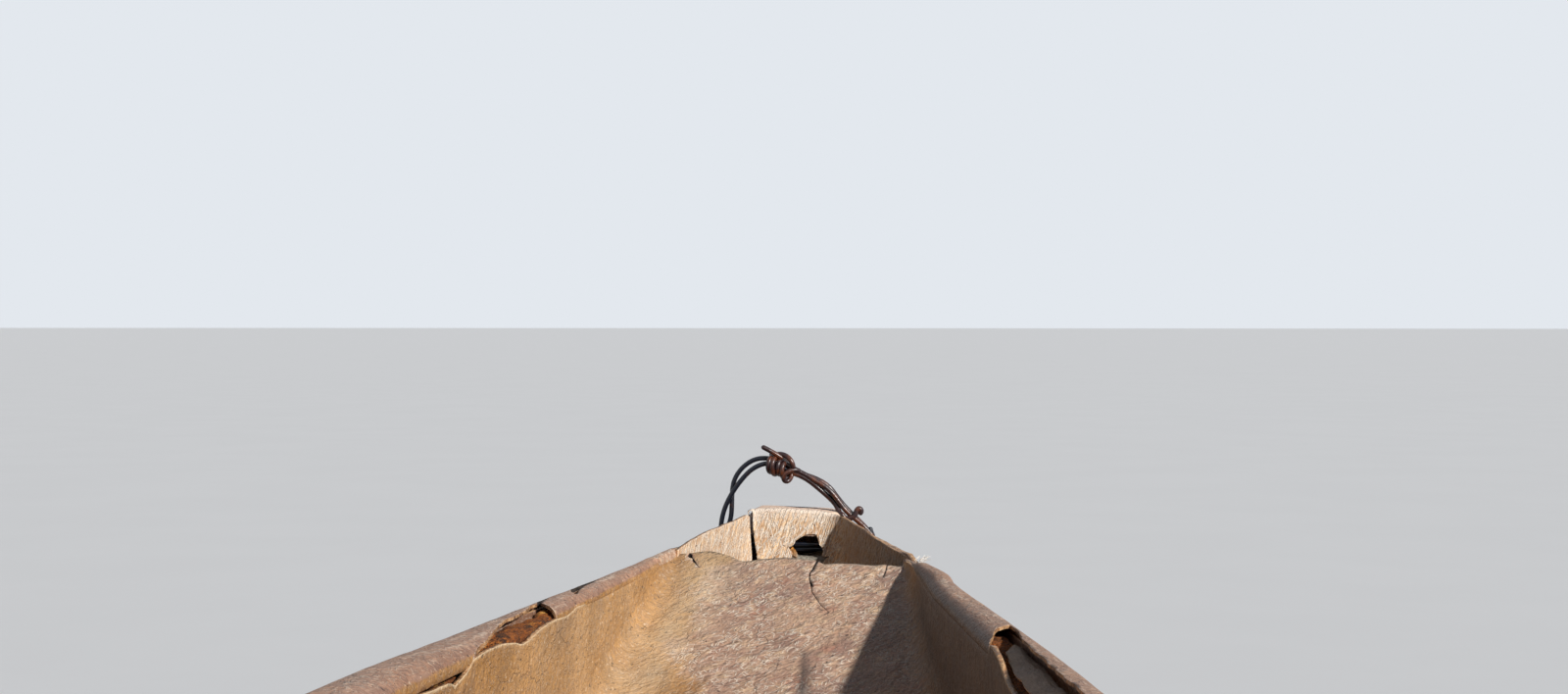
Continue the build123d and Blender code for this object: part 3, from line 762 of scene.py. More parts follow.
def outer_skin():
    """Outer skin: sections of the hull form, drawn in over the last 17 mm to round the stems.

    There a section is inset by r - sqrt(r^2 - (r - d)^2) at distance d, and a last few
    rings shrink to the middle of the stem face.
    """
    at_stem = STEM_ROUND * (1 - np.cos(np.linspace(0, np.pi / 2, 8)))
    along = spaced((0.03, 0.5, 0.010), (0.5, 1.2, 0.02), (1.2, LENGTH / 2, 0.06))
    x = both_ends(np.concatenate([at_stem, along]))
    d = stem_distance(x)
    chord = np.sqrt(np.maximum(STEM_ROUND**2 - (STEM_ROUND - d) ** 2, 0))
    inset = np.where(d < STEM_ROUND, STEM_ROUND - chord, 0)
    covered = smooth_step(RAMP_EDGE - 0.01, RAMP_EDGE + 0.01, d)
    ragged_top = 1.4 * MM * rough_noise(x, 0.03, 3) * (1 - covered)
    worn_down = 3 * MM * smooth_step(0.24, 0.16, d) + 1.8 * MM * smooth_step(0.08, 0.04, d)
    top = sheer(d) - 6 * MM * covered - worn_down + ragged_top - inset * 0.15
    lean = side_lean(d)
    half = half_beam(d) - inset - lean * (top - sheer(d))
    radius = BILGE_RADIUS * share(d, 4) - 0.5 * inset
    sections = side_sections(top, keel(d) + inset, half, radius, lean, (16, 12, 8))
    points = whole_sections(x, sections, sections)
    for end in (0, -1):
        ring = points[end]
        middle = (ring[0] + ring[-1]) / 2
        face = middle + (ring - middle) * np.linspace(0.8, 0.02, 5)[:, None, None]
        face[..., 0] = ring[0, 0]
        points = np.concatenate([face[::-1], points] if end == 0 else [points, face])
    x, y, z = np.moveaxis(points, -1, 0)
    d = stem_distance(x)
    dents = 1.2 * MM * cloud_noise(x, z + 3 * np.abs(y), 0.21, 5) * smooth_step(0.25, 0.6, d)
    y += dents * np.sign(y) * smooth_step(0.1, 0.2, np.abs(y))
    high = smooth_step(0.12, 0.02, sheer(d) - z)
    y += np.where(y > 0, bulge(x, "left", 1), -bulge(x, "right", 1)) * high + shoulder(x, y) * high
    z -= chafe(x, y) * high
    piece = grid_piece("outer_skin", points, along_and_across(points), [HULL_SIDE, BROKEN], flip=True)
    settle(thicken(piece, HULL_SKIN, 1))
    turn = np.linspace(0, 2 * np.pi, 24, endpoint=False)
    eye = joined(np.cos(turn), np.sin(turn)) * EYE
    eye += 0.5 * MM * rough_noise(turn * 0.02, 0.02, 8)[:, None]
    for side in (1, -1):

        def through_side(a, b, depth):
            return joined(PIVOT_X + a, side * depth, EYE_LEVEL + b)

        bite(piece, eye, 0.045, 0.09, through_side, BROKEN)
    return piece


def ramp_height(distance):
    """Height of the ramps and the floor: the higher of the two, blended as a hyperbola."""
    ramp = RAMP_HEIGHT - (distance - RAMP_EDGE) * RAMP_SLOPE
    floor = keel(distance) + BOTTOM_SKIN + LINER_SKIN
    return (ramp + floor) / 2 + np.sqrt(((ramp - floor) / 2) ** 2 + RAMP_FOOT_BLEND**2)


# Drop of the inner skin's top edge below the sheer, in millimetres, along the bow half where
# it is torn down: distance from the stem, drop
LINER_TOP = {
    "left": [
        (0.43, 10.4), (0.45, 9.2), (0.500, 8.0), (0.525, 11.5), (0.556, 9.4), (0.580, 10.3),
        (0.600, 12.6), (0.615, 15.9), (0.632, 16.8), (0.644, 12.8), (0.668, 9.3), (0.698, 8.4),
        (0.720, 8.8), (0.736, 10.7), (0.745, 17.0), (0.760, 21.2), (0.773, 24.0), (0.780, 19.6),
        (0.800, 18.3), (0.824, 18.3), (0.90, 15.0), (0.94, 13.6),
    ],
    "right": [
        (0.648, 12.0), (0.656, 5.0), (0.668, 4.0), (0.684, 7.4), (0.700, 11.8), (0.710, 16.0),
        (0.726, 20.2), (0.746, 23.4), (0.80, 25.0), (0.95, 23.0), (1.05, 20.0), (1.09, 13.7),
    ],
}


def rim_crown(distance):
    """Height of a rim's crest over the ends of its curve."""
    return 13 * MM * (0.45 + 0.55 * share(distance, 5))


# How much further out the worn starboard shoulder of the bow stands than the fair lines:
# distance from the stem, millimetres
SHOULDER = np.array([
    (0.0, 0), (0.06, 0), (0.12, 4), (0.20, 7.5), (0.235, 9), (0.29, 7), (0.36, 3), (0.42, 0), (9.0, 0),
])
# How deep the wire has rubbed down the starboard edge of the bow block
CHAFE_DEPTH = 4.5 * MM


def shoulder(x, y):
    """Outward shift to starboard at each place of the bow, none at the middle."""
    amount = steady_curve(*SHOULDER.T, stem_distance(x)) * MM
    return -amount * (x > 0) * smooth_step(0, -0.09, y)


def chafe(x, y):
    """Depth worn off the starboard edge of the bow block where the wire has rubbed."""
    along = between((0.022, 0.036), (0.082, 0.068), stem_distance(x))
    return CHAFE_DEPTH * along * smooth_step(-0.056, -0.064, y) * (x > 0)


# Ragged top edge of the bow ramp, in millimetres: place across, distance from the stem
RAMP_EDGE_LINE = np.array([
    (-140, 222), (-130, 223), (-109, 225), (-101, 229), (-87, 225), (-73, 227), (-66, 225), (-45, 224),
    (-35, 227), (-31, 221), (-20, 219), (-3, 218), (12, 220), (25, 222), (33, 225), (43, 227), (49, 221),
    (60, 214), (75, 210), (92, 213), (105, 216), (140, 219),
]) * MM
# Drop of the inner skin's top edge at the ramp's bow corners, in millimetres
CORNER_DROP = {"left": 3.0, "right": 6.0}


def liner_side(x, word):
    """Half sections of the inner skin on one side, from its top edge to the middle.

    The top edge lies just under the rim's crown, rises to the ramp's corner at the bow,
    and follows LINER_TOP where it is torn down. Its bottom is the ramp, or the floor.
    """
    distance = stem_distance(x)
    rim = RIM_WIDTH * share(distance, 5)
    places, drops = np.array(LINER_TOP[word]).T
    torn = np.interp(distance, places, drops) + 1.1 * rough_noise(distance, 0.03, 11 + SIDES[word], 5)
    seam = rim_crown(distance) / MM + 0.8
    rising = CORNER_DROP[word] + (seam - CORNER_DROP[word]) * smooth_step(0.25, 0.36, distance)
    is_torn = (x > 0) & (distance > places[0]) & (distance < places[-1])
    top = sheer(distance) - np.where(is_torn, torn, np.where(x > 0, rising, seam)) * MM
    low = np.minimum(ramp_height(distance), top - 1.5 * MM)
    on_floor = smooth_step(0.75, 1.2, distance)
    radius = (15 * MM + 18 * MM * smooth_step(0.22, 0.6, distance)) * (1 - on_floor)
    radius = radius + (BILGE_RADIUS * share(distance, 4) - rim) * on_floor
    radius = np.minimum(radius, 0.8 * (top - low))
    half = half_beam(distance) - rim + 0.8 * MM
    return side_sections(top, low, half, radius, side_lean(distance), (18, 9, 22))


def liner():
    """Inner skin: the space's section at each station, with both ramps as its raised floor.

    The ramp's edge is moved to its ragged line, the ramps wave by up to 2 mm and the sides
    by 1.5 mm. Where the rim is whole, the top edge is tucked 0.9 mm behind its face.
    """
    inboard = spaced((0.0, 0.30, 0.0045), (0.30, 0.75, 0.006), (0.75, LENGTH / 2 - RAMP_EDGE, 0.03))
    x = both_ends(RAMP_EDGE + inboard)
    distance = stem_distance(x)
    bow = x > 0
    points = whole_sections(x, liner_side(x, "left"), liner_side(x, "right"))
    x, y, z = np.moveaxis(points, -1, 0)
    column = np.arange(y.shape[1])
    floor = smooth_step(17.5, 27, np.minimum(column, column[::-1]))
    edge = np.interp(y, *RAMP_EDGE_LINE.T) + 1.0 * MM * rough_noise(y, 0.012, 21)
    shift = (edge - RAMP_EDGE) * smooth_step(RAMP_EDGE + 0.09, RAMP_EDGE, distance) * bow
    x -= shift
    z -= shift * RAMP_SLOPE * floor
    wave = 1.6 * MM * cloud_noise(x, y, 0.075, 31) + 0.8 * MM * cloud_noise(x, y, 0.028, 32)
    z += wave * floor * smooth_step(0, 0.03, distance - RAMP_EDGE)
    under_edge = np.where(column <= len(column) // 2, z[:, :1], z[:, -1:]) - z
    swell = 1.5 * MM * cloud_noise(x, z, 0.09, 33) * (1 - floor) * smooth_step(0, 0.03, under_edge)
    y += swell * np.sign(y) * smooth_step(0, 0.05, distance - RAMP_EDGE)
    y += shoulder(x, y)
    torn = np.where(y > 0, smooth_step(0.95, 0.90, distance), smooth_step(0.64, 0.66, distance))
    torn = torn * between((0.43, 0.50), (1.12, 1.05), distance)
    tuck = bell(under_edge, 2.0 * MM) * (1 - torn) * smooth_step(0, 0.02, distance - RAMP_EDGE)
    y += 0.9 * MM * tuck * np.sign(y)
    lip = 0.85 * bell(under_edge, 1.3 * MM) * torn
    # The paler strip that front lays along the ramp's top edge is a painted highlight of the lit edge.
    front = 0.35 * bell(distance - RAMP_EDGE, 0.0035) * floor
    crease = bell(y - 0.075 - 0.25 * (distance - 0.25), 0.028) * smooth_step(0.75, 0.35, distance)
    crease = 0.45 * crease * (0.75 + 0.25 * cloud_noise(x, y, 0.02, 34))
    shaded = between((0.22, 0.34), (1.5, 1.0), distance) * bow
    # The starboard walls of the bow half get a painted shade, as the side that lies in the shade.
    marks = {
        "wall": wall_tint(points, floor), "stain": stains(points), "rim": 0.0, "crest": 0.0,
        "pale": np.maximum(np.maximum(lip, front), crease) * bow,
        "painted_shade": (1 - floor) * smooth_step(0.0, -0.05, y) * shaded,
    }
    piece = grid_piece("inner_skin", points, along_and_across(points), [SKIN, BROKEN], marks)
    return settle(thicken(piece, LINER_SKIN, 1))


def wall_tint(points, on_floor):
    """How ochre a place is: the sides, and the port edge of the bow ramp."""
    y = points[..., 1]
    distance = stem_distance(points[..., 0])
    port = smooth_step(0.030, 0.105, y + 0.03 * cloud_noise(points[..., 0], y, 0.03, 41))
    starboard = 0.25 * smooth_step(-0.09, -0.14, y)
    ramp = (port * 0.85 + starboard) * smooth_step(0.9, 0.5, distance)
    return np.maximum((1 - on_floor) * 0.95, ramp)


def stains(points):
    """Dark smear down the middle of the bow ramp: a bell across it, fading towards the floor."""
    y, distance = points[..., 1], stem_distance(points[..., 0])
    bow = points[..., 0] > 0
    middle = -0.027 + 0.004 * wave_noise(distance, 0.03, 51)
    width = (2.5 + 3.5 * smooth_step(0.36, 0.44, distance)) * MM
    smear = bell(y - middle, width) * smooth_step(0.360, 0.372, distance)
    smear = smear * (0.75 + 0.3 * wave_noise(distance, 0.018, 52)) * smooth_step(0.62, 0.45, distance)
    return np.clip(smear * bow, 0, 0.85)


def crack_outline(line, widths):
    """Thin outline round a broken line: each point moved to both sides by half its width."""
    ahead = heading(line)
    across = joined(-ahead[:, 1], ahead[:, 0]) * widths / 2
    return np.concatenate([line + across, (line - across)[::-1]])


def on_ramp(distance, across, depth):
    """Point of the bow ramp at a distance from the stem and a place across, and a depth above it."""
    return joined(LENGTH / 2 - distance, across, ramp_height(distance) + depth)


# Cracks of the bow ramp, in millimetres: distance from the stem, place across, width
RAMP_CRACKS = [
    [(212, -33, 3.6), (224, -31, 2.2), (231, -29, 1.3), (245, -25, 1.1), (255, -25.5, 1.0), (264, -28, 2.4),
     (268, -28, 0.9), (275, -29, 0.8), (285, -33, 0.7), (298, -39, 0.5), (310, -47, 0.3)],
    [(224, -99, 0.9), (236, -98, 1.0), (243, -96.5, 0.9), (247, -95, 0.3)],
]
# Torn crescent at the ramp's port corner
RAMP_CRESCENT = [
    (214, 94), (219, 95.5), (226, 91), (233, 86), (239, 82), (234, 84.5), (227, 87.5), (221, 90.5),
    (216, 91),
]


def crack_ramp(piece):
    """Cuts the cracks and the torn crescent through the bow ramp."""
    for line in RAMP_CRACKS:
        line = np.array(line) * MM
        bite(piece, crack_outline(line[:, :2], line[:, 2:]), -0.012, 0.006, on_ramp, CAVITY)
    return bite(piece, np.array(RAMP_CRESCENT) * MM, -0.012, 0.008, on_ramp, CAVITY)


# Rims


# Places where the rim is torn away, as outlines: distance from the stem in millimetres,
# share of the rim's width from its outer face
RIM_TEARS = {
    "left": [
        [(532, 0.34), (546, 0.24), (560, 0.38), (578, 0.47), (600, 0.50), (615, 0.46), (630, 0.54),
         (645, 0.60), (656, 0.66), (676, 0.78), (700, 0.87), (720, 0.94), (736, 1.04), (738, 1.30),
         (556, 1.30), (548, 0.92), (541, 0.60)],
        [(396, 0.30), (419, 0.18), (441, 0.11), (455, 0.22), (468, 0.42), (480, 0.70), (473, 0.74),
         (463, 0.62), (450, 0.52), (436, 0.46), (416, 0.42)],
        [(492, 0.16), (510, 0.12), (526, 0.16), (540, 0.34), (533, 0.40), (520, 0.30), (507, 0.22)],
    ],
    "right": [
        [(600, 0.16), (616, 0.11), (640, 0.20), (664, 0.33), (690, 0.37), (706, 0.42), (740, 0.40),
         (780, 0.43), (818, 0.46), (844, 0.41), (900, 0.46), (1000, 0.48), (1050, 0.55), (1080, 0.80),
         (1092, 1.30), (656, 1.30), (655, 1.00), (642, 0.90), (624, 0.70), (611, 0.48), (603, 0.30)],
    ],
}


# Width that a whole share of the rim's width stands for while a tear's outline is roughened
TEAR_SCALE = 30 * MM


def ragged(outline, step, rough, seed):
    """Outline with points a step apart, each moved by up to about a rough amount."""
    ring = np.concatenate([outline, outline[:1]])
    length = run_length(ring)
    at = np.arange(0, length[-1], step)
    points = joined(np.interp(at, length, ring[:, 0]), np.interp(at, length, ring[:, 1]))
    noise = joined(rough_noise(at, 9 * step, seed), rough_noise(at, 7 * step, seed + 9))
    return points + rough * noise


# How far the worn bow half bulges past its fair lines at the rim, in millimetres: distance
# from the stem, outwards, upwards
BULGE = {
    "left": [
        (0.0, 0, 0), (0.30, 0, 0), (0.40, 0.5, 0.5), (0.55, 1.5, 1.5), (0.70, 2.5, 2.5), (0.90, 3.5, 4.0),
        (1.15, 3.5, 4.0), (1.6, 0, 0), (9.0, 0, 0),
    ],
    "right": [
        (0.0, 0, -5), (0.20, 0, -5), (0.235, 0, -5), (0.262, 1, -1.0), (0.29, 1.5, 1.5), (0.35, 4, 4.5),
        (0.375, 3, 2.5), (0.41, 3, 3), (0.60, 3, 3.5), (0.90, 3, 3), (1.15, 2, 2), (1.6, 0, 0), (9.0, 0, 0),
    ],
}


def bulge(x, name, column):
    """Outward (1) or upward (2) bulge of a side's rim at each place along the hull."""
    table = np.array(BULGE[name]).T
    return steady_curve(table[0], table[column], stem_distance(x)) * MM * (x > 0)


def rim_section(distance):
    """Section of the rim from its outer foot over its crest to its inner edge, at each station.

    The crest is a half superellipse of power 2.7. The outer leg runs straight down from
    it, and the inner side turns down and passes 1.6 mm behind the inner skin's face.
    Returns y, z, how near a place is to the crest, and its share of the way over it.
    """
    size = share(distance, 5)
    crown = rim_crown(distance)
    t = np.linspace(0, 1, 37)
    outer = np.clip(t / 0.14, 0, 1)
    over = np.clip((t - 0.14) / 0.72, 0, 1)
    inner = np.clip((t - 0.86) / 0.14, 0, 1)
    spread, lift = superellipse(np.pi * over, 2.7)
    y = half_beam(distance) + RIM_LAP - RIM_WIDTH * size / 2 * (1 - spread) + 1.6 * MM * inner**1.5
    leg = RIM_OUTER_DROP * size - crown
    z = sheer(distance) - crown * (1 - lift) - leg * (1 - outer) - 5.0 * MM * size * inner
    return y, z, lift**3 * (1 - 0.4 * over), over


def rim_piece(name):
    """Rolled rim of one side, with its tears cut out.

    Noises of 0.3 to 0.9 mm make it wander, wave and dent. At the worn bow it stands out
    and up by BULGE, and at its ends it is bare and pale.
    """
    side = SIDES[name]
    x = both_ends(spaced((RAMP_EDGE - 6 * MM, 1.12, 0.005), (1.12, LENGTH / 2, 0.03)))
    distance = stem_distance(x)
    y, z, crest, over = rim_section(distance)
    wander = 0.8 * wave_noise(distance, 0.16, 63 + side) + 0.4 * wave_noise(distance, 0.05, 65 + side)
    wave = 0.9 * wave_noise(x, 0.13, 67 + side) + 0.35 * wave_noise(x, 0.035, 69 + side)
    dents = 0.45 * cloud_noise(x, over * 0.04, 0.016, 70 + side)
    lift = bulge(x, name, 2)
    y = y + wander * MM * over * smooth_step(1.0, 0.7, over)
    y = y + bulge(x, name, 1) * smooth_step(1.0, 0.75, over)
    z = z + (wave + dents) * MM * crest + lift * np.where(lift > 0, 1 - 0.8 * over, 1.0)
    points = joined(x, side * y, z)
    points[..., 1] += shoulder(points[..., 0], points[..., 1])
    begun = smooth_step(0.215, 0.32, distance)
    brown = between((0.0, 0.12), (1.02, 0.86), over)
    shaded = smooth_step(1.5, 1.0, distance) * (x > 0) * (side < 0)
    # The inner side of the starboard rim at the bow gets a painted shade.
    marks = {
        "crest": crest * (0.55 + 0.45 * begun), "rim": begun * np.maximum(brown, 0.35),
        "wall": smooth_step(0.72, 0.95, over) * 0.9 * (0.4 + 0.6 * begun), "stain": 0.0, "pale": 0.0,
        "painted_shade": smooth_step(0.55, 0.92, over) * shaded,
    }
    piece = grid_piece(f"rim_{name}", points, along_and_across(points), [SKIN, BROKEN], marks, flip=side < 0)
    settle(thicken(piece, 2.6 * MM, 1))

    def over_rim(distance, shares, depth):
        across = half_beam(distance) + RIM_LAP - shares * RIM_WIDTH * share(distance, 5)
        return joined(LENGTH / 2 - distance, side * across, sheer(distance) + depth)

    for number, outline in enumerate(RIM_TEARS[name]):
        rough, material = (1.3 * MM, BROKEN) if number == 0 else (0.5 * MM, CAVITY)
        outline = ragged(np.array(outline) * (MM, TEAR_SCALE), 2.2 * MM, rough, 60 + number + side)
        outline[:, 1] = np.maximum(outline[:, 1] / TEAR_SCALE, 0.09)
        bite(piece, outline, -0.06, 0.02, over_rim, material)
    return piece


# How deep the foam has sunk under each break, and the distances over which that begins and ends
FOAM_SUNK = {"left": (11 * MM, (0.655, 0.69), (1.0, 0.9)), "right": (12 * MM, (0.625, 0.66), (1.15, 1.1))}


def foam_piece(name):
    """Foam core of a rim: a rounded bar inside its hollow, crumbled where the rim is torn.

    Its section is a superellipse of power 8/3, and noises of 2.2 and 1.3 mm crumble it.
    """
    x = both_ends(spaced((FOAM_START, 1.1, 0.004), (1.1, LENGTH / 2, 0.04)))
    distance = stem_distance(x)
    size = share(distance, 5)
    turn = np.linspace(0, 2 * np.pi, 41)[:-1]
    spread, lift = superellipse(turn, 8 / 3)
    round_it = turn * 12 * MM
    crumble = 2.2 * MM * cloud_noise(x, round_it, 0.014, 81) + 1.3 * MM * cloud_noise(x, round_it, 0.006, 82)
    crumble = crumble * smooth_step(1.2, 1.0, distance) * (x > 0)
    depth, rising, falling = FOAM_SUNK[name]
    sunk = depth * between(rising, falling, distance) * (x > 0)
    y = half_beam(distance) - RIM_WIDTH * size / 2 + ((RIM_WIDTH - 12 * MM) * size / 2 + crumble) * spread
    z = sheer(distance) - 17 * MM * (0.4 + 0.6 * size) - sunk + (9.5 * MM * size + crumble) * lift
    points = joined(x, SIDES[name] * y, z)
    piece = grid_piece(f"foam_{name}", points, joined(x, round_it), [FOAM], closed=True)
    return close_ends(piece, len(x), len(turn))


def close_ends(piece, rows, columns):
    """Closes both ends of a tube grid with one face each, and turns its faces outwards."""
    shape = bmesh.new()
    shape.from_mesh(piece.data)
    shape.verts.ensure_lookup_table()
    for start in (0, (rows - 1) * columns):
        shape.faces.new([shape.verts[start + i] for i in range(columns)]).smooth = True
    shape.to_mesh(piece.data)
    shape.free()
    return outward(piece)


# Torn sheet in the starboard rim, in millimetres: distance from the stem, then inboard and
# drop of its outboard edge, and inboard and drop of its inboard edge
FLAP = [
    (626, 6, 10.5, 9, 11), (640, 6, 9.5, 14, 10), (660, 6.5, 9, 21, 10), (690, 7.7, 9, 26, 12),
    (730, 9, 9, 30, 13.5), (770, 12, 9, 32.5, 14.5), (810, 13.5, 9, 33, 15), (900, 14, 9, 33, 15),
    (1000, 14, 9, 33, 14), (1075, 15, 10, 33, 13),
]


def torn_flap():
    """Inner half of the starboard rim, torn off its outer half and sunk between the skins.

    It spans the two edges in FLAP, arched by 1.6 mm, and noises of about 1 mm wave it.
    """
    distance = spaced((0.626, 1.075, 0.004))[:, None]
    t = np.linspace(0, 1, 18)
    stations, *edges = np.array(FLAP).T
    near_y, near_drop, far_y, far_drop = (np.interp(distance, stations * MM, edge) for edge in edges)
    near_y = near_y + 1.6 * rough_noise(distance, 0.04, 91)
    far_y = far_y + 1.6 * rough_noise(distance, 0.03, 92)
    inboard = near_y * (1 - t) + far_y * t
    drop = near_drop * (1 - t) + far_drop * t - 1.6 * np.sin(np.pi * t)
    drop = drop + wave_noise(distance, 0.06, 93) + 0.8 * cloud_noise(distance, t * 0.02, 0.012, 94)
    points = joined(LENGTH / 2 - distance, inboard * MM - half_beam(distance), sheer(distance) - drop * MM)
    piece = grid_piece("torn_flap", points, along_and_across(points), [FLAP_SHEET, BROKEN], flip=True)
    return thicken(piece, 2.2 * MM, 1)


# Bow chamber and end blocks


def chamber_plan(corner_port, corner_starboard, steps):
    """Plan of the chamber's wall from the ramp to port, round the end wall, to the ramp to starboard.

    Two straight flaring sides and the end wall, joined by parabolas that start and end
    where arcs of the given radii would.
    Returns points (distance, y) and the length along the wall, zero amidships.
    """
    outer_half = half_beam(RAMP_EDGE)
    corners = np.array([
        (RAMP_EDGE, outer_half - RIM_WIDTH * share(RAMP_EDGE, 5)), (END_WALL, CHAMBER_HALF),
        (END_WALL, -CHAMBER_HALF), (RAMP_EDGE, -outer_half - 5 * MM),
    ])
    path = [corners[0]]
    for corner, radius in ((1, corner_port), (2, corner_starboard)):
        back = corners[corner - 1] - corners[corner]
        ahead = corners[corner + 1] - corners[corner]
        back /= np.linalg.norm(back)
        ahead /= np.linalg.norm(ahead)
        half_turn = np.arccos(np.clip(-back @ ahead, -1, 1)) / 2
        reach = radius * np.tan(half_turn)
        t = np.linspace(0, 1, 12)[:, None]
        start, end = corners[corner] + back * reach, corners[corner] + ahead * reach
        path.extend((1 - t) ** 2 * start + 2 * t * (1 - t) * corners[corner] + t**2 * end)
    path.append(corners[3])
    path = np.array(path)
    length = run_length(path)
    at = np.linspace(0, length[-1], steps)
    plan = joined(np.interp(at, length, path[:, 0]), np.interp(at, length, path[:, 1]))
    middle = np.interp(0, -plan[:, 1], at)
    return plan, at - middle


# Top of the chamber's wall, in millimetres: length along it from the middle (port is
# negative), height
CHAMBER_TOP = np.array([
    (-215, 383.5), (-186, 390.5), (-160, 395.5), (-134, 398.5), (-108, 401.7), (-80, 404.5),
    (-58, 407.5), (-49.5, 408.5), (-45, 413.5), (-38, 414.5), (-10, 414.5), (20, 413.5), (38, 411),
    (48, 408), (60, 405.5), (80, 402), (105, 398.8), (129, 393), (164, 387), (200, 382.5), (222, 378),
]) * MM
# Radius of the soft bend from the end wall into the cap
EDGE_BEND = 3.6 * MM
# Hole in the end wall, in millimetres: y, z
END_HOLE = [
    (6.5, 358), (3.5, 364.5), (2.5, 368.5), (6.5, 374), (3.0, 376), (0.5, 378.5), (-0.5, 381.5),
    (-5, 384.5), (-10, 387.5), (-15, 388.8), (-20.5, 388.6), (-23, 386), (-24, 382), (-25.5, 377.5),
    (-28.5, 374.5), (-29.3, 370), (-28, 367), (-30.5, 364.8), (-33.5, 365.7), (-37, 368), (-36.6, 366.4),
    (-32, 363.2), (-28.5, 358),
]
# Slit beside the port corner of the end wall, in millimetres: y, z
END_SLIT = [
    (45.2, 411.4), (47.0, 412.2), (48.4, 411.0), (48.4, 408.4), (47.0, 406), (46.6, 395), (46.0, 384),
    (45.0, 370), (44.2, 352), (38.2, 352), (39.8, 366), (42.2, 380), (43.8, 395), (44.4, 406),
    (44.0, 408.8),
]


def chamber():
    """Walls of the bow chamber in one sheet round its plan, from its foot to its ragged top.

    Along the end wall the top bends outwards into the cap by a quarter circle of radius
    EDGE_BEND, and runs 3 mm on under it.
    """
    plan, at = chamber_plan(9 * MM, 34 * MM, 190)
    rows = np.linspace(0, 1, 60)[:, None]
    rolled = smooth_step(52 * MM, 42 * MM, np.abs(at + 2 * MM))
    straight = 1 - rolled
    top = np.interp(at, *CHAMBER_TOP.T) + 0.7 * MM * rough_noise(at, 0.012, 101) - EDGE_BEND * rolled
    z = CHAMBER_FOOT * (1 - rows) + top * rows
    x = LENGTH / 2 - plan[:, 0] + 0.9 * MM * cloud_noise(at, z, 0.045, 102)
    points = joined(x, plan[:, 1], z)
    turn = np.linspace(0, np.pi / 2, 9)[1:, None]
    reach = EDGE_BEND * rolled * (1 - np.cos(turn))
    rise = EDGE_BEND * rolled * np.sin(turn) + 0.1 * MM * np.arange(1, 9)[:, None] * straight
    reach = np.concatenate([reach, reach[-1:] + 3 * MM * rolled])
    rise = np.concatenate([rise, rise[-1:] + 0.1 * MM * straight - 0.5 * MM * rolled])
    ahead_x, ahead_y = heading(plan).T
    points = np.concatenate([points, points[-1] + joined(-ahead_y * reach, -ahead_x * reach, rise)])
    surface = joined(at, np.concatenate([z, z[-1] + reach + rise]))
    bare = np.broadcast_to(0.6 + 0.4 * rolled, reach.shape)
    # The chamber's starboard side gets a painted shade, and its far port side is darkened a little.
    marks = {
        "pale": np.concatenate([smooth_step(0.93, 1.0, rows) * 0.5 * rolled, bare]),
        "shade_and_grime": np.maximum(smooth_step(0.030, 0.070, at), 0.3 * smooth_step(-0.045, -0.060, at)),
    }
    piece = grid_piece("bow_chamber", points, surface, [CHAMBER, BROKEN], marks, flip=True)
    settle(thicken(piece, 3 * MM, 1))

    def through_wall(y, z, depth):
        return joined(LENGTH / 2 - END_WALL + depth, y, z)

    bite(piece, np.array(END_HOLE) * MM, -0.02, 0.02, through_wall, BROKEN)
    bite(piece, np.array(END_SLIT) * MM, -0.03, 0.02, through_wall, CAVITY)
    return piece


# Rings of an end's cap from the sheer inwards: share of the way in to the flat top, then
# share of the way up
CAP_RINGS = np.array([
    (0.0, -0.25), (0.0, 0.0), (0.12, 0.07), (0.28, 0.17), (0.45, 0.30), (0.62, 0.47), (0.78, 0.68),
    (0.90, 0.86), (0.97, 0.95), (1.06, 0.99), (1.25, 1.0), (1.8, 1.0), (2.8, 1.0), (3.9, 1.0),
])


def head(end):
    """End block's cap, with hollow shoulders.

    Each ring is a superellipse of power 7 in plan. Its half width narrows from the sheer's
    to the top's as it rises, its rear edge stays on the end wall, and its front edge and
    corners draw in with the ring. The bow's is tilted, and rubbed down to starboard.
    """
    way_in, way_up = CAP_RINGS[:, :1], CAP_RINGS[:, 1:]
    close = np.clip(way_in, 0, 1)
    shrink = np.clip(1 - (way_in - 1) / 3, 0, 1)
    turn = np.linspace(0, 2 * np.pi, 97)[:-1]
    round_x, round_y = superellipse(turn, 7)
    front, rear = (1.0 + 7.5 * close) * MM, END_WALL - 1.5 * MM
    distance = (front + rear) / 2 + (rear - front) / 2 * shrink * round_x
    top_half = (38 + 6 * distance / END_WALL) * MM
    half = (half_beam(distance) - 0.2 * MM) * (1 - close) + top_half * close
    x, y = end * (LENGTH / 2 - distance), half * shrink * round_y
    base = sheer(distance) - 4.5 * MM
    top = SHEER_TOP - 4 * MM + HEAD_CROWN * 0.98
    tilt = 0.030 * y * close if end > 0 else 0
    uneven = 0.5 * MM * cloud_noise(distance, y, 0.018, 111) * close
    z = base + (top - base) * way_up + tilt + uneven - chafe(x, y)
    name = "bow_head_cap" if end > 0 else "stern_head_cap"
    piece = grid_piece(name, joined(x, y, z), joined(distance, y), [CAP], closed=True)
    return close_ends(piece, len(CAP_RINGS), len(turn))


# Height of the fill inside the bow block
FILL_LEVEL = 364.5 * MM


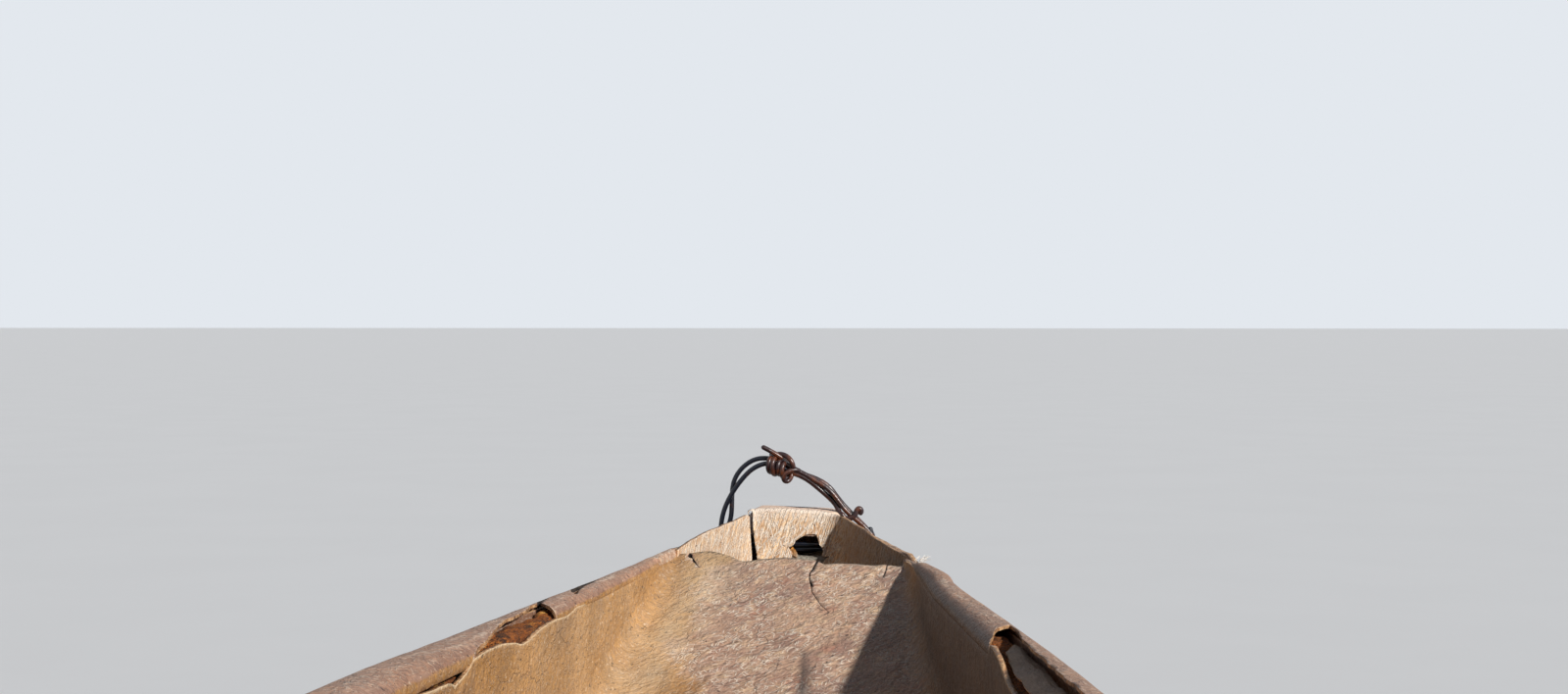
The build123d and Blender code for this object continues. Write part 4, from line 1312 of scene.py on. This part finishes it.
def block_floor():
    """Rough resin and foam fill inside the bow block, seen through the hole in its end wall.

    Noises of 1.2 and 0.7 mm roughen it. A lump, coloured as a painted pool of amber sunlight,
    rises 8 mm from it as the product of two bells of power 4, one across the block and one along it.
    """
    distance = np.linspace(9 * MM, END_WALL - 0.4 * MM, 40)[:, None]
    y = np.linspace(-1, 1, 90) * 22 * MM - 13 * MM
    rough = 1.2 * MM * cloud_noise(distance, y, 0.012, 121) + 0.7 * MM * cloud_noise(distance, y, 0.005, 122)
    # The lump is a real rise of the fill; its bright amber colour is a painted pool of sunlight.
    lit_lump = bell(y - 2.2 * MM, 4.2 * MM, 4) * bell(distance - END_WALL + 4 * MM, 5 * MM, 4)
    z = FILL_LEVEL + rough + lit_lump * (8.0 * MM + 2.5 * MM * cloud_noise(distance, y, 0.003, 123))
    points = joined(LENGTH / 2 - distance, y, z)
    points = np.concatenate([points, points[-1:] - (0, 0, 9 * MM)])
    surface = joined(points[..., 0] + points[..., 2], points[..., 1])
    lit_lump = np.concatenate([lit_lump, 0 * lit_lump[-1:]])
    piece = grid_piece("block_fill", points, surface, [FILL], {"lit_lump": lit_lump}, flip=True)
    return thicken(piece, 2 * MM)


def stern_deck():
    """Whole deck over the stern chamber: a crowned sheet from the cap down to the ramp's edge."""
    distance = spaced((END_WALL - 1 * MM, RAMP_EDGE, 0.005))[:, None]
    across = np.linspace(-1, 1, 61)
    part = (distance - END_WALL) / (RAMP_EDGE - END_WALL)
    y = across * (half_beam(distance) - 0.2 * MM)
    crown = (HEAD_CROWN * 0.9) * (1 - part) + 5 * MM * part
    uneven = 0.6 * MM * cloud_noise(distance, y, 0.05, 131)
    z = sheer(distance) + (1 - np.abs(across) ** 3.2) * crown + uneven
    points = joined(distance - LENGTH / 2, y, z)
    marks = {"wall": 0.35, "rim": 0.6, "crest": 0.3, "stain": 0.0, "pale": 0.0, "painted_shade": 0.0}
    piece = grid_piece("stern_deck_skin", points, joined(distance, y), [SKIN, BROKEN], marks)
    return thicken(piece, 4 * MM, 1)


# Wire loop


def smooth_path(corners, steps):
    """Points along a cubic B-spline with the corners as its controls, its ends pinned."""
    before, after = 2 * corners[:1] - corners[1:2], 2 * corners[-1:] - corners[-2:-1]
    padded = np.concatenate([before, corners, after])
    at = np.linspace(0, len(corners) - 1 - 1e-9, steps)
    cell = np.floor(at).astype(int)
    t = (at - cell)[:, None]
    weights = [(1 - t) ** 3, 3 * t**3 - 6 * t**2 + 4, -3 * t**3 + 3 * t**2 + 3 * t + 1, t**3]
    total = sum(w * padded[np.clip(cell + k, 0, len(padded) - 1)] for k, w in enumerate(weights))
    return total / 6


def tube(name, path, radius, reference, materials, sides=14):
    """Round bar along a path: rings square to it, turned by the reference direction.

    Its ends are rounded over the last radius, down to a fifth of it.
    """
    ahead = heading(path)
    first = np.cross(ahead, np.broadcast_to(reference, ahead.shape))
    first /= np.linalg.norm(first, axis=1)[:, None]
    second = np.cross(ahead, first)
    turn = np.linspace(0, 2 * np.pi, sides + 1)[:-1, None]
    length = run_length(path)
    from_end = np.minimum(length, length[-1] - length) / radius
    taper = np.sqrt(np.clip(1 - (1 - np.clip(from_end, 0, 1)) ** 2, 0.04, 1))
    ring = np.cos(turn) * first[:, None] + np.sin(turn) * second[:, None]
    points = path[:, None] + (radius * taper)[:, None, None] * ring
    surface = joined(length[:, None], turn[:, 0] * radius)
    return close_ends(grid_piece(name, points, surface, materials, closed=True), len(path), sides)


def bend(rows):
    """Path corners from rows of millimetres: y, z, and x ahead of the pivot."""
    y, z, ahead = np.array(rows).T * MM
    return joined(PIVOT_X + ahead, y, z)


# Directions that the rings of a bar are turned by, and how thick the twisted wires are drawn
AHEAD = (1, 0, 0)
TO_PORT = (0, 1, 0)
TWIST_SHARE = 1.1
# Middle lines of the wires as their corners, in millimetres: y, z, and x ahead of the pivot
WIRES = {
    "strand_fore": [
        (6, 458, 1.5), (14, 462, 2.2), (22, 465, 2.6), (31.4, 465.7, 2.6), (41.4, 465.6, 2.6),
        (51.4, 461.1, 2.6), (60, 453.1, 2.6), (65.5, 444.2, 2.6), (67.9, 434.8, 2.6), (68.3, 422, 2.6),
        (68.2, 408.6, 2.6), (70, 397, 2.8), (75, 388, 2.8), (77.5, 380, 2.8), (75.5, 373.5, 2.8),
        (66, 371.8, 2.8), (50, 371.6, 2.8), (0, 371.6, 2.8), (-50, 371.6, 2.8), (-68, 371.8, 2.8),
        (-76, 374, 2.8), (-81, 382, 2.8), (-80, 389, 2.6), (-74.5, 394.5, 2.4),
    ],
    "strand_aft": [
        (8, 453.5, -2.2), (16, 457, -2.6), (24, 459.5, -2.8), (32, 461, -2.8), (40.1, 458.4, -2.8),
        (48.8, 453.3, -2.8), (57.4, 443.8, -2.8), (64.8, 433.7, -2.8), (71.5, 422.3, -2.8),
        (77, 408.5, -2.8), (79.2, 394.1, -2.8), (79, 385, -2.8), (75.5, 378.5, -2.8), (66, 377.2, -2.8),
        (50, 377, -2.8), (0, 376.8, -2.8), (-50, 377, -2.8), (-67, 377.5, -2.8), (-75, 381, -2.8),
        (-80, 387.5, -2.6), (-77, 396, -2.4),
    ],
    "twist_a": [
        (17, 460, 2), (11.3, 455.6, 1.6), (2.6, 453.7, 1.2), (-6.2, 449.6, 1.4), (-17, 446.3, 1.8),
        (-27.5, 441.6, 2.2), (-35.8, 435, 2.6), (-41.5, 427, 3.0), (-48.5, 418.2, 3.0),
        (-57.4, 409.3, 2.6), (-66, 401.3, 2.2), (-75, 392.5, 2.4), (-80, 386, 2.6),
    ],
    "twist_b": [
        (12, 456, -2), (6.2, 451.6, -2.6), (-1, 449.4, -2.8), (-8, 446.4, -2.4), (-16.4, 441, -1.6),
        (-27.5, 431.6, 0.0), (-36.2, 424, 1.5), (-42.3, 417.5, 1.0), (-44.6, 411, -1.5),
        (-48, 406.4, -4.5), (-53.5, 403.8, -6.0), (-59.5, 405.4, -6.2), (-62.6, 409.4, -5.8),
        (-63, 413.2, -5.4), (-65.4, 415.8, -5.0), (-68, 414.2, -4.6), (-68, 411, -4.2),
        (-65.6, 408.8, -3.8),
    ],
    "twist_c": [
        (14, 462, -3), (6, 457.5, -4), (-3, 452.2, -3.4), (-11, 448.6, -3.2), (-19.5, 443.2, -3.0),
        (-29, 438.2, -3.0), (-36.5, 432, -3.0), (-42.7, 424.6, -2.8), (-49.5, 415, -2.4),
        (-56.5, 408.2, -2.2), (-66, 401, -2.4), (-76, 392, -2.6), (-80.5, 386, -2.8),
    ],
    "knot_over": [
        (29, 462, 4), (25, 469, 0), (18.5, 471.2, -4.5), (11.5, 470, -7.0), (5.8, 465, -8.6),
        (3.2, 459, -8.6), (3.4, 453.8, -6.0), (6, 449.5, -1), (9.5, 449.5, 3.5),
    ],
    "knot_turn": [
        (-4, 453.0, -3.5), (1.3, 455.2, -6.2), (8.2, 453.6, -8.6), (13.2, 449.2, -9.6), (13.7, 443.8, -8.4),
        (10.2, 441.6, -5.8), (6.6, 444.4, -4.2), (5, 449.7, -3.0), (6.5, 455, -1.0),
    ],
    "knot_tail": [
        (14, 465.5, -5), (20.2, 469.8, -6.5), (25.9, 472.9, -7.2), (31.5, 476, -7.6), (37, 478.6, -7.8),
    ],
    "lower_end": [
        (-47, 411, -6.0), (-50.5, 405.5, -6.6), (-54.5, 401.4, -6.4), (-59.5, 397.6, -5.6),
        (-66, 395.4, -4.6),
    ],
}


# Middle of the knot's first wrap, in millimetres: x ahead of the pivot, y, z, and the wires
# bundled inside the wraps: y, z, and x ahead of the pivot
KNOT_MIDDLE = (0.0, 29.5, 461.5)
KNOT_CORE = [(29, 463, 0), (24, 461, 0), (18, 459, 0), (12, 456.5, 0)]


def coil(radius, pitch, turns, start, drop, skew, wobble):
    """Wraps of wire from the knot's middle: each turn is a pitch further to starboard.

    The line that they go round sinks by drop a metre, each turn is skewed so that its near
    side lies to port, and its radius varies by wobble.
    """
    at = np.linspace(0, turns, int(36 * turns))
    angle = start + 2 * np.pi * at
    grown = radius * (1 + wobble * np.sin(angle * 0.62))
    along = -pitch * at
    ahead, y, z = np.array(KNOT_MIDDLE) * MM
    y = y + along + skew * grown * np.cos(angle)
    z = z + grown * np.sin(angle) + drop * along
    return joined(PIVOT_X + ahead - grown * np.cos(angle), y, z)


def wire_loop():
    """Mooring loop of tie wire: two strands through the hull, twisted to starboard and knotted."""
    made = []
    for name, corners in WIRES.items():
        material = WIRE_DARK if name.startswith("strand") else WIRE_RUST
        path = smooth_path(bend(corners), 14 * len(corners))
        radius = WIRE_RADIUS * (TWIST_SHARE if name.startswith("twist") else 1.0)
        made.append(tube(name, path, radius, AHEAD, [material]))
    wraps = coil(9.0 * MM, 4.9 * MM, turns=3.9, start=1.9, drop=0.36, skew=0.42, wobble=0.12)
    made.append(tube("knot_wrap", wraps, 1.08 * WIRE_RADIUS, TO_PORT, [WIRE_RUST]))
    made.append(tube("knot_inside", smooth_path(bend(KNOT_CORE), 20), 6.2 * MM, AHEAD, [WIRE_RUST]))
    return made


def fray():
    """Loose glass strands at the starboard end of the ramp's edge, each a bent line from a random foot.

    Real strands are finer than a pixel, so these are drawn 0.5 mm thick.
    """
    made = []
    random = np.random.default_rng(7)
    for number in range(14):
        away, across, up = random.random(3)
        foot = np.array([LENGTH / 2 - (0.232 + 0.014 * away), -0.126 - 0.010 * across, 0.3805 + 0.003 * up])
        lean = np.array([random.normal(0, 2.5), random.normal(-2.5, 2.2), 2.5 + 4 * random.random()]) * MM
        droop = np.array([random.normal(0, 1.2), random.normal(-1.2, 1.2), -1.0]) * MM
        path = np.array([foot - 0.4 * lean, foot, foot + 0.55 * lean, foot + lean + droop])
        made.append(tube(f"fray_{number}", smooth_path(path, 14), 0.25 * MM, AHEAD, [FRAY], sides=6))
    return made


# Surroundings


def studio_floor():
    """Pale floor at the waterline, with an opening where the hull floats in it.

    The opening is the hull's section at that height, on the side or on the bilge's arc:
    half width = centre + sqrt(r^2 - rise^2). The floor sinks by HEEL a metre to port, as the
    boat heels in the photograph.
    """
    x = spaced((-LENGTH / 2, LENGTH / 2, 0.02))
    d = stem_distance(x)
    low = keel(d)
    radius = BILGE_RADIUS * share(d, 4)
    under = WATERLINE - low
    side = half_beam(d) + side_lean(d) * (sheer(d) - WATERLINE)
    rise = np.clip(under - radius, -radius, 0)
    width = np.where(under > radius, side, side - radius + np.sqrt(np.maximum(radius**2 - rise**2, 0)))
    afloat = under > 0
    x, width = x[afloat], width[afloat] - HULL_SKIN * 0.6
    ring = np.concatenate([joined(x, width), joined(x[::-1], -width[::-1])])
    angle = np.arctan2(ring[:, 1], ring[:, 0])
    levels = np.concatenate([[0.0], np.geomspace(0.03, 1, 60)])[:, None, None]
    flat = ring * (1 - levels) + FLOOR_REACH * joined(np.cos(angle), np.sin(angle)) * levels
    points = np.concatenate([flat, WATERLINE - HEEL * flat[..., 1:]], axis=-1)
    piece = grid_piece("studio_floor", points, flat, [FLOOR], closed=True, flip=True)
    piece.data.shade_flat()
    return piece


def light_and_camera():
    """Key lamp from aft and starboard, a pale world, and the camera at the photograph's place."""
    scene = bpy.context.scene
    key = bpy.data.lights.new("key", "SUN")
    key.energy = SUN_STRENGTH
    key.angle = np.radians(SUN_SPREAD)
    key.color = (1.0, 0.965, 0.92)
    lamp = new_object("key", key)
    lamp.rotation_euler = Vector(SUN_WAY).to_track_quat("-Z", "Y").to_euler()

    world = bpy.data.worlds.new("studio")
    scene.world = world
    world.use_nodes = True
    tree = world.node_tree
    shade = tree.nodes["Background"]
    shade.inputs["Color"].default_value = linear("#8DB0F0")
    shade.inputs["Strength"].default_value = SKY_STRENGTH
    camera_ray, glossy_ray, through_ray = (add(tree, "LightPath", out=number) for number in (0, 3, 6))
    seen = add(tree, "Math", camera_ray, glossy_ray, operation="MAXIMUM")
    seen = add(tree, "Math", seen, through_ray, operation="MAXIMUM")
    backdrop = add(tree, "Background", "#E3E8EE", 1.0)
    pick = add(tree, "MixShader", seen, shade.outputs[0], backdrop)
    tree.links.new(pick, tree.nodes["World Output"].inputs["Surface"])

    yaw, pitch, roll = np.radians(CAMERA_TURNS)
    ahead = np.array([np.cos(yaw) * np.cos(pitch), np.sin(yaw) * np.cos(pitch), -np.sin(pitch)])
    right = np.cross(ahead, (0, 0, 1))
    right /= np.linalg.norm(right)
    up = np.cross(right, ahead)
    rolled_right = np.cos(roll) * right + np.sin(roll) * up
    rolled_up = -np.sin(roll) * right + np.cos(roll) * up
    eye = bpy.data.cameras.new("camera")
    eye.lens = 50
    eye.sensor_width = 36
    eye.clip_start = 0.05
    eye.clip_end = 2000
    turn = Matrix((rolled_right, rolled_up, -ahead)).transposed()
    scene.camera = new_object("camera", eye)
    scene.camera.matrix_world = Matrix.Translation(CAMERA_PLACE) @ turn.to_4x4()
    scene.view_settings.view_transform = "Standard"


def seat(piece, body, slot, *nodes):
    """Rides a piece on its body, and hides the nodes it stands for. Its slot is not used."""
    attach(piece, body)
    if nodes:
        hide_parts(*nodes)


light_and_camera()
studio_floor()
seat(outer_skin(), "hull", "outer_laminate", "outer_hull")
seat(crack_ramp(liner()), "hull", "inner_laminate", "inner_liner")
for word in SIDES:
    seat(rim_piece(word), "hull", "rim_laminate", f"gunwale_{word}")
    seat(foam_piece(word), "hull", "aged_foam", f"rim_foam_{word}")
seat(torn_flap(), "hull", "rim_laminate")
seat(chamber(), "hull", "inner_laminate", "bow_tub")
seat(head(1), "hull", "rim_laminate", "bow_head")
seat(head(-1), "hull", "rim_laminate", "stern_head")
seat(block_floor(), "hull", "inner_laminate")
seat(stern_deck(), "hull", "inner_laminate", "stern_deck")
WIRE_NODES = {
    "strand_fore": ["loop_strand_fore"], "strand_aft": ["loop_strand_aft"],
    "knot_wrap": ["loop_knot"], "knot_tail": ["loop_tail"],
}
for piece in wire_loop():
    seat(piece, "mooring_loop", "rusty_wire", *WIRE_NODES.get(piece.name, []))
for piece in fray():
    seat(piece, "hull", "inner_laminate")
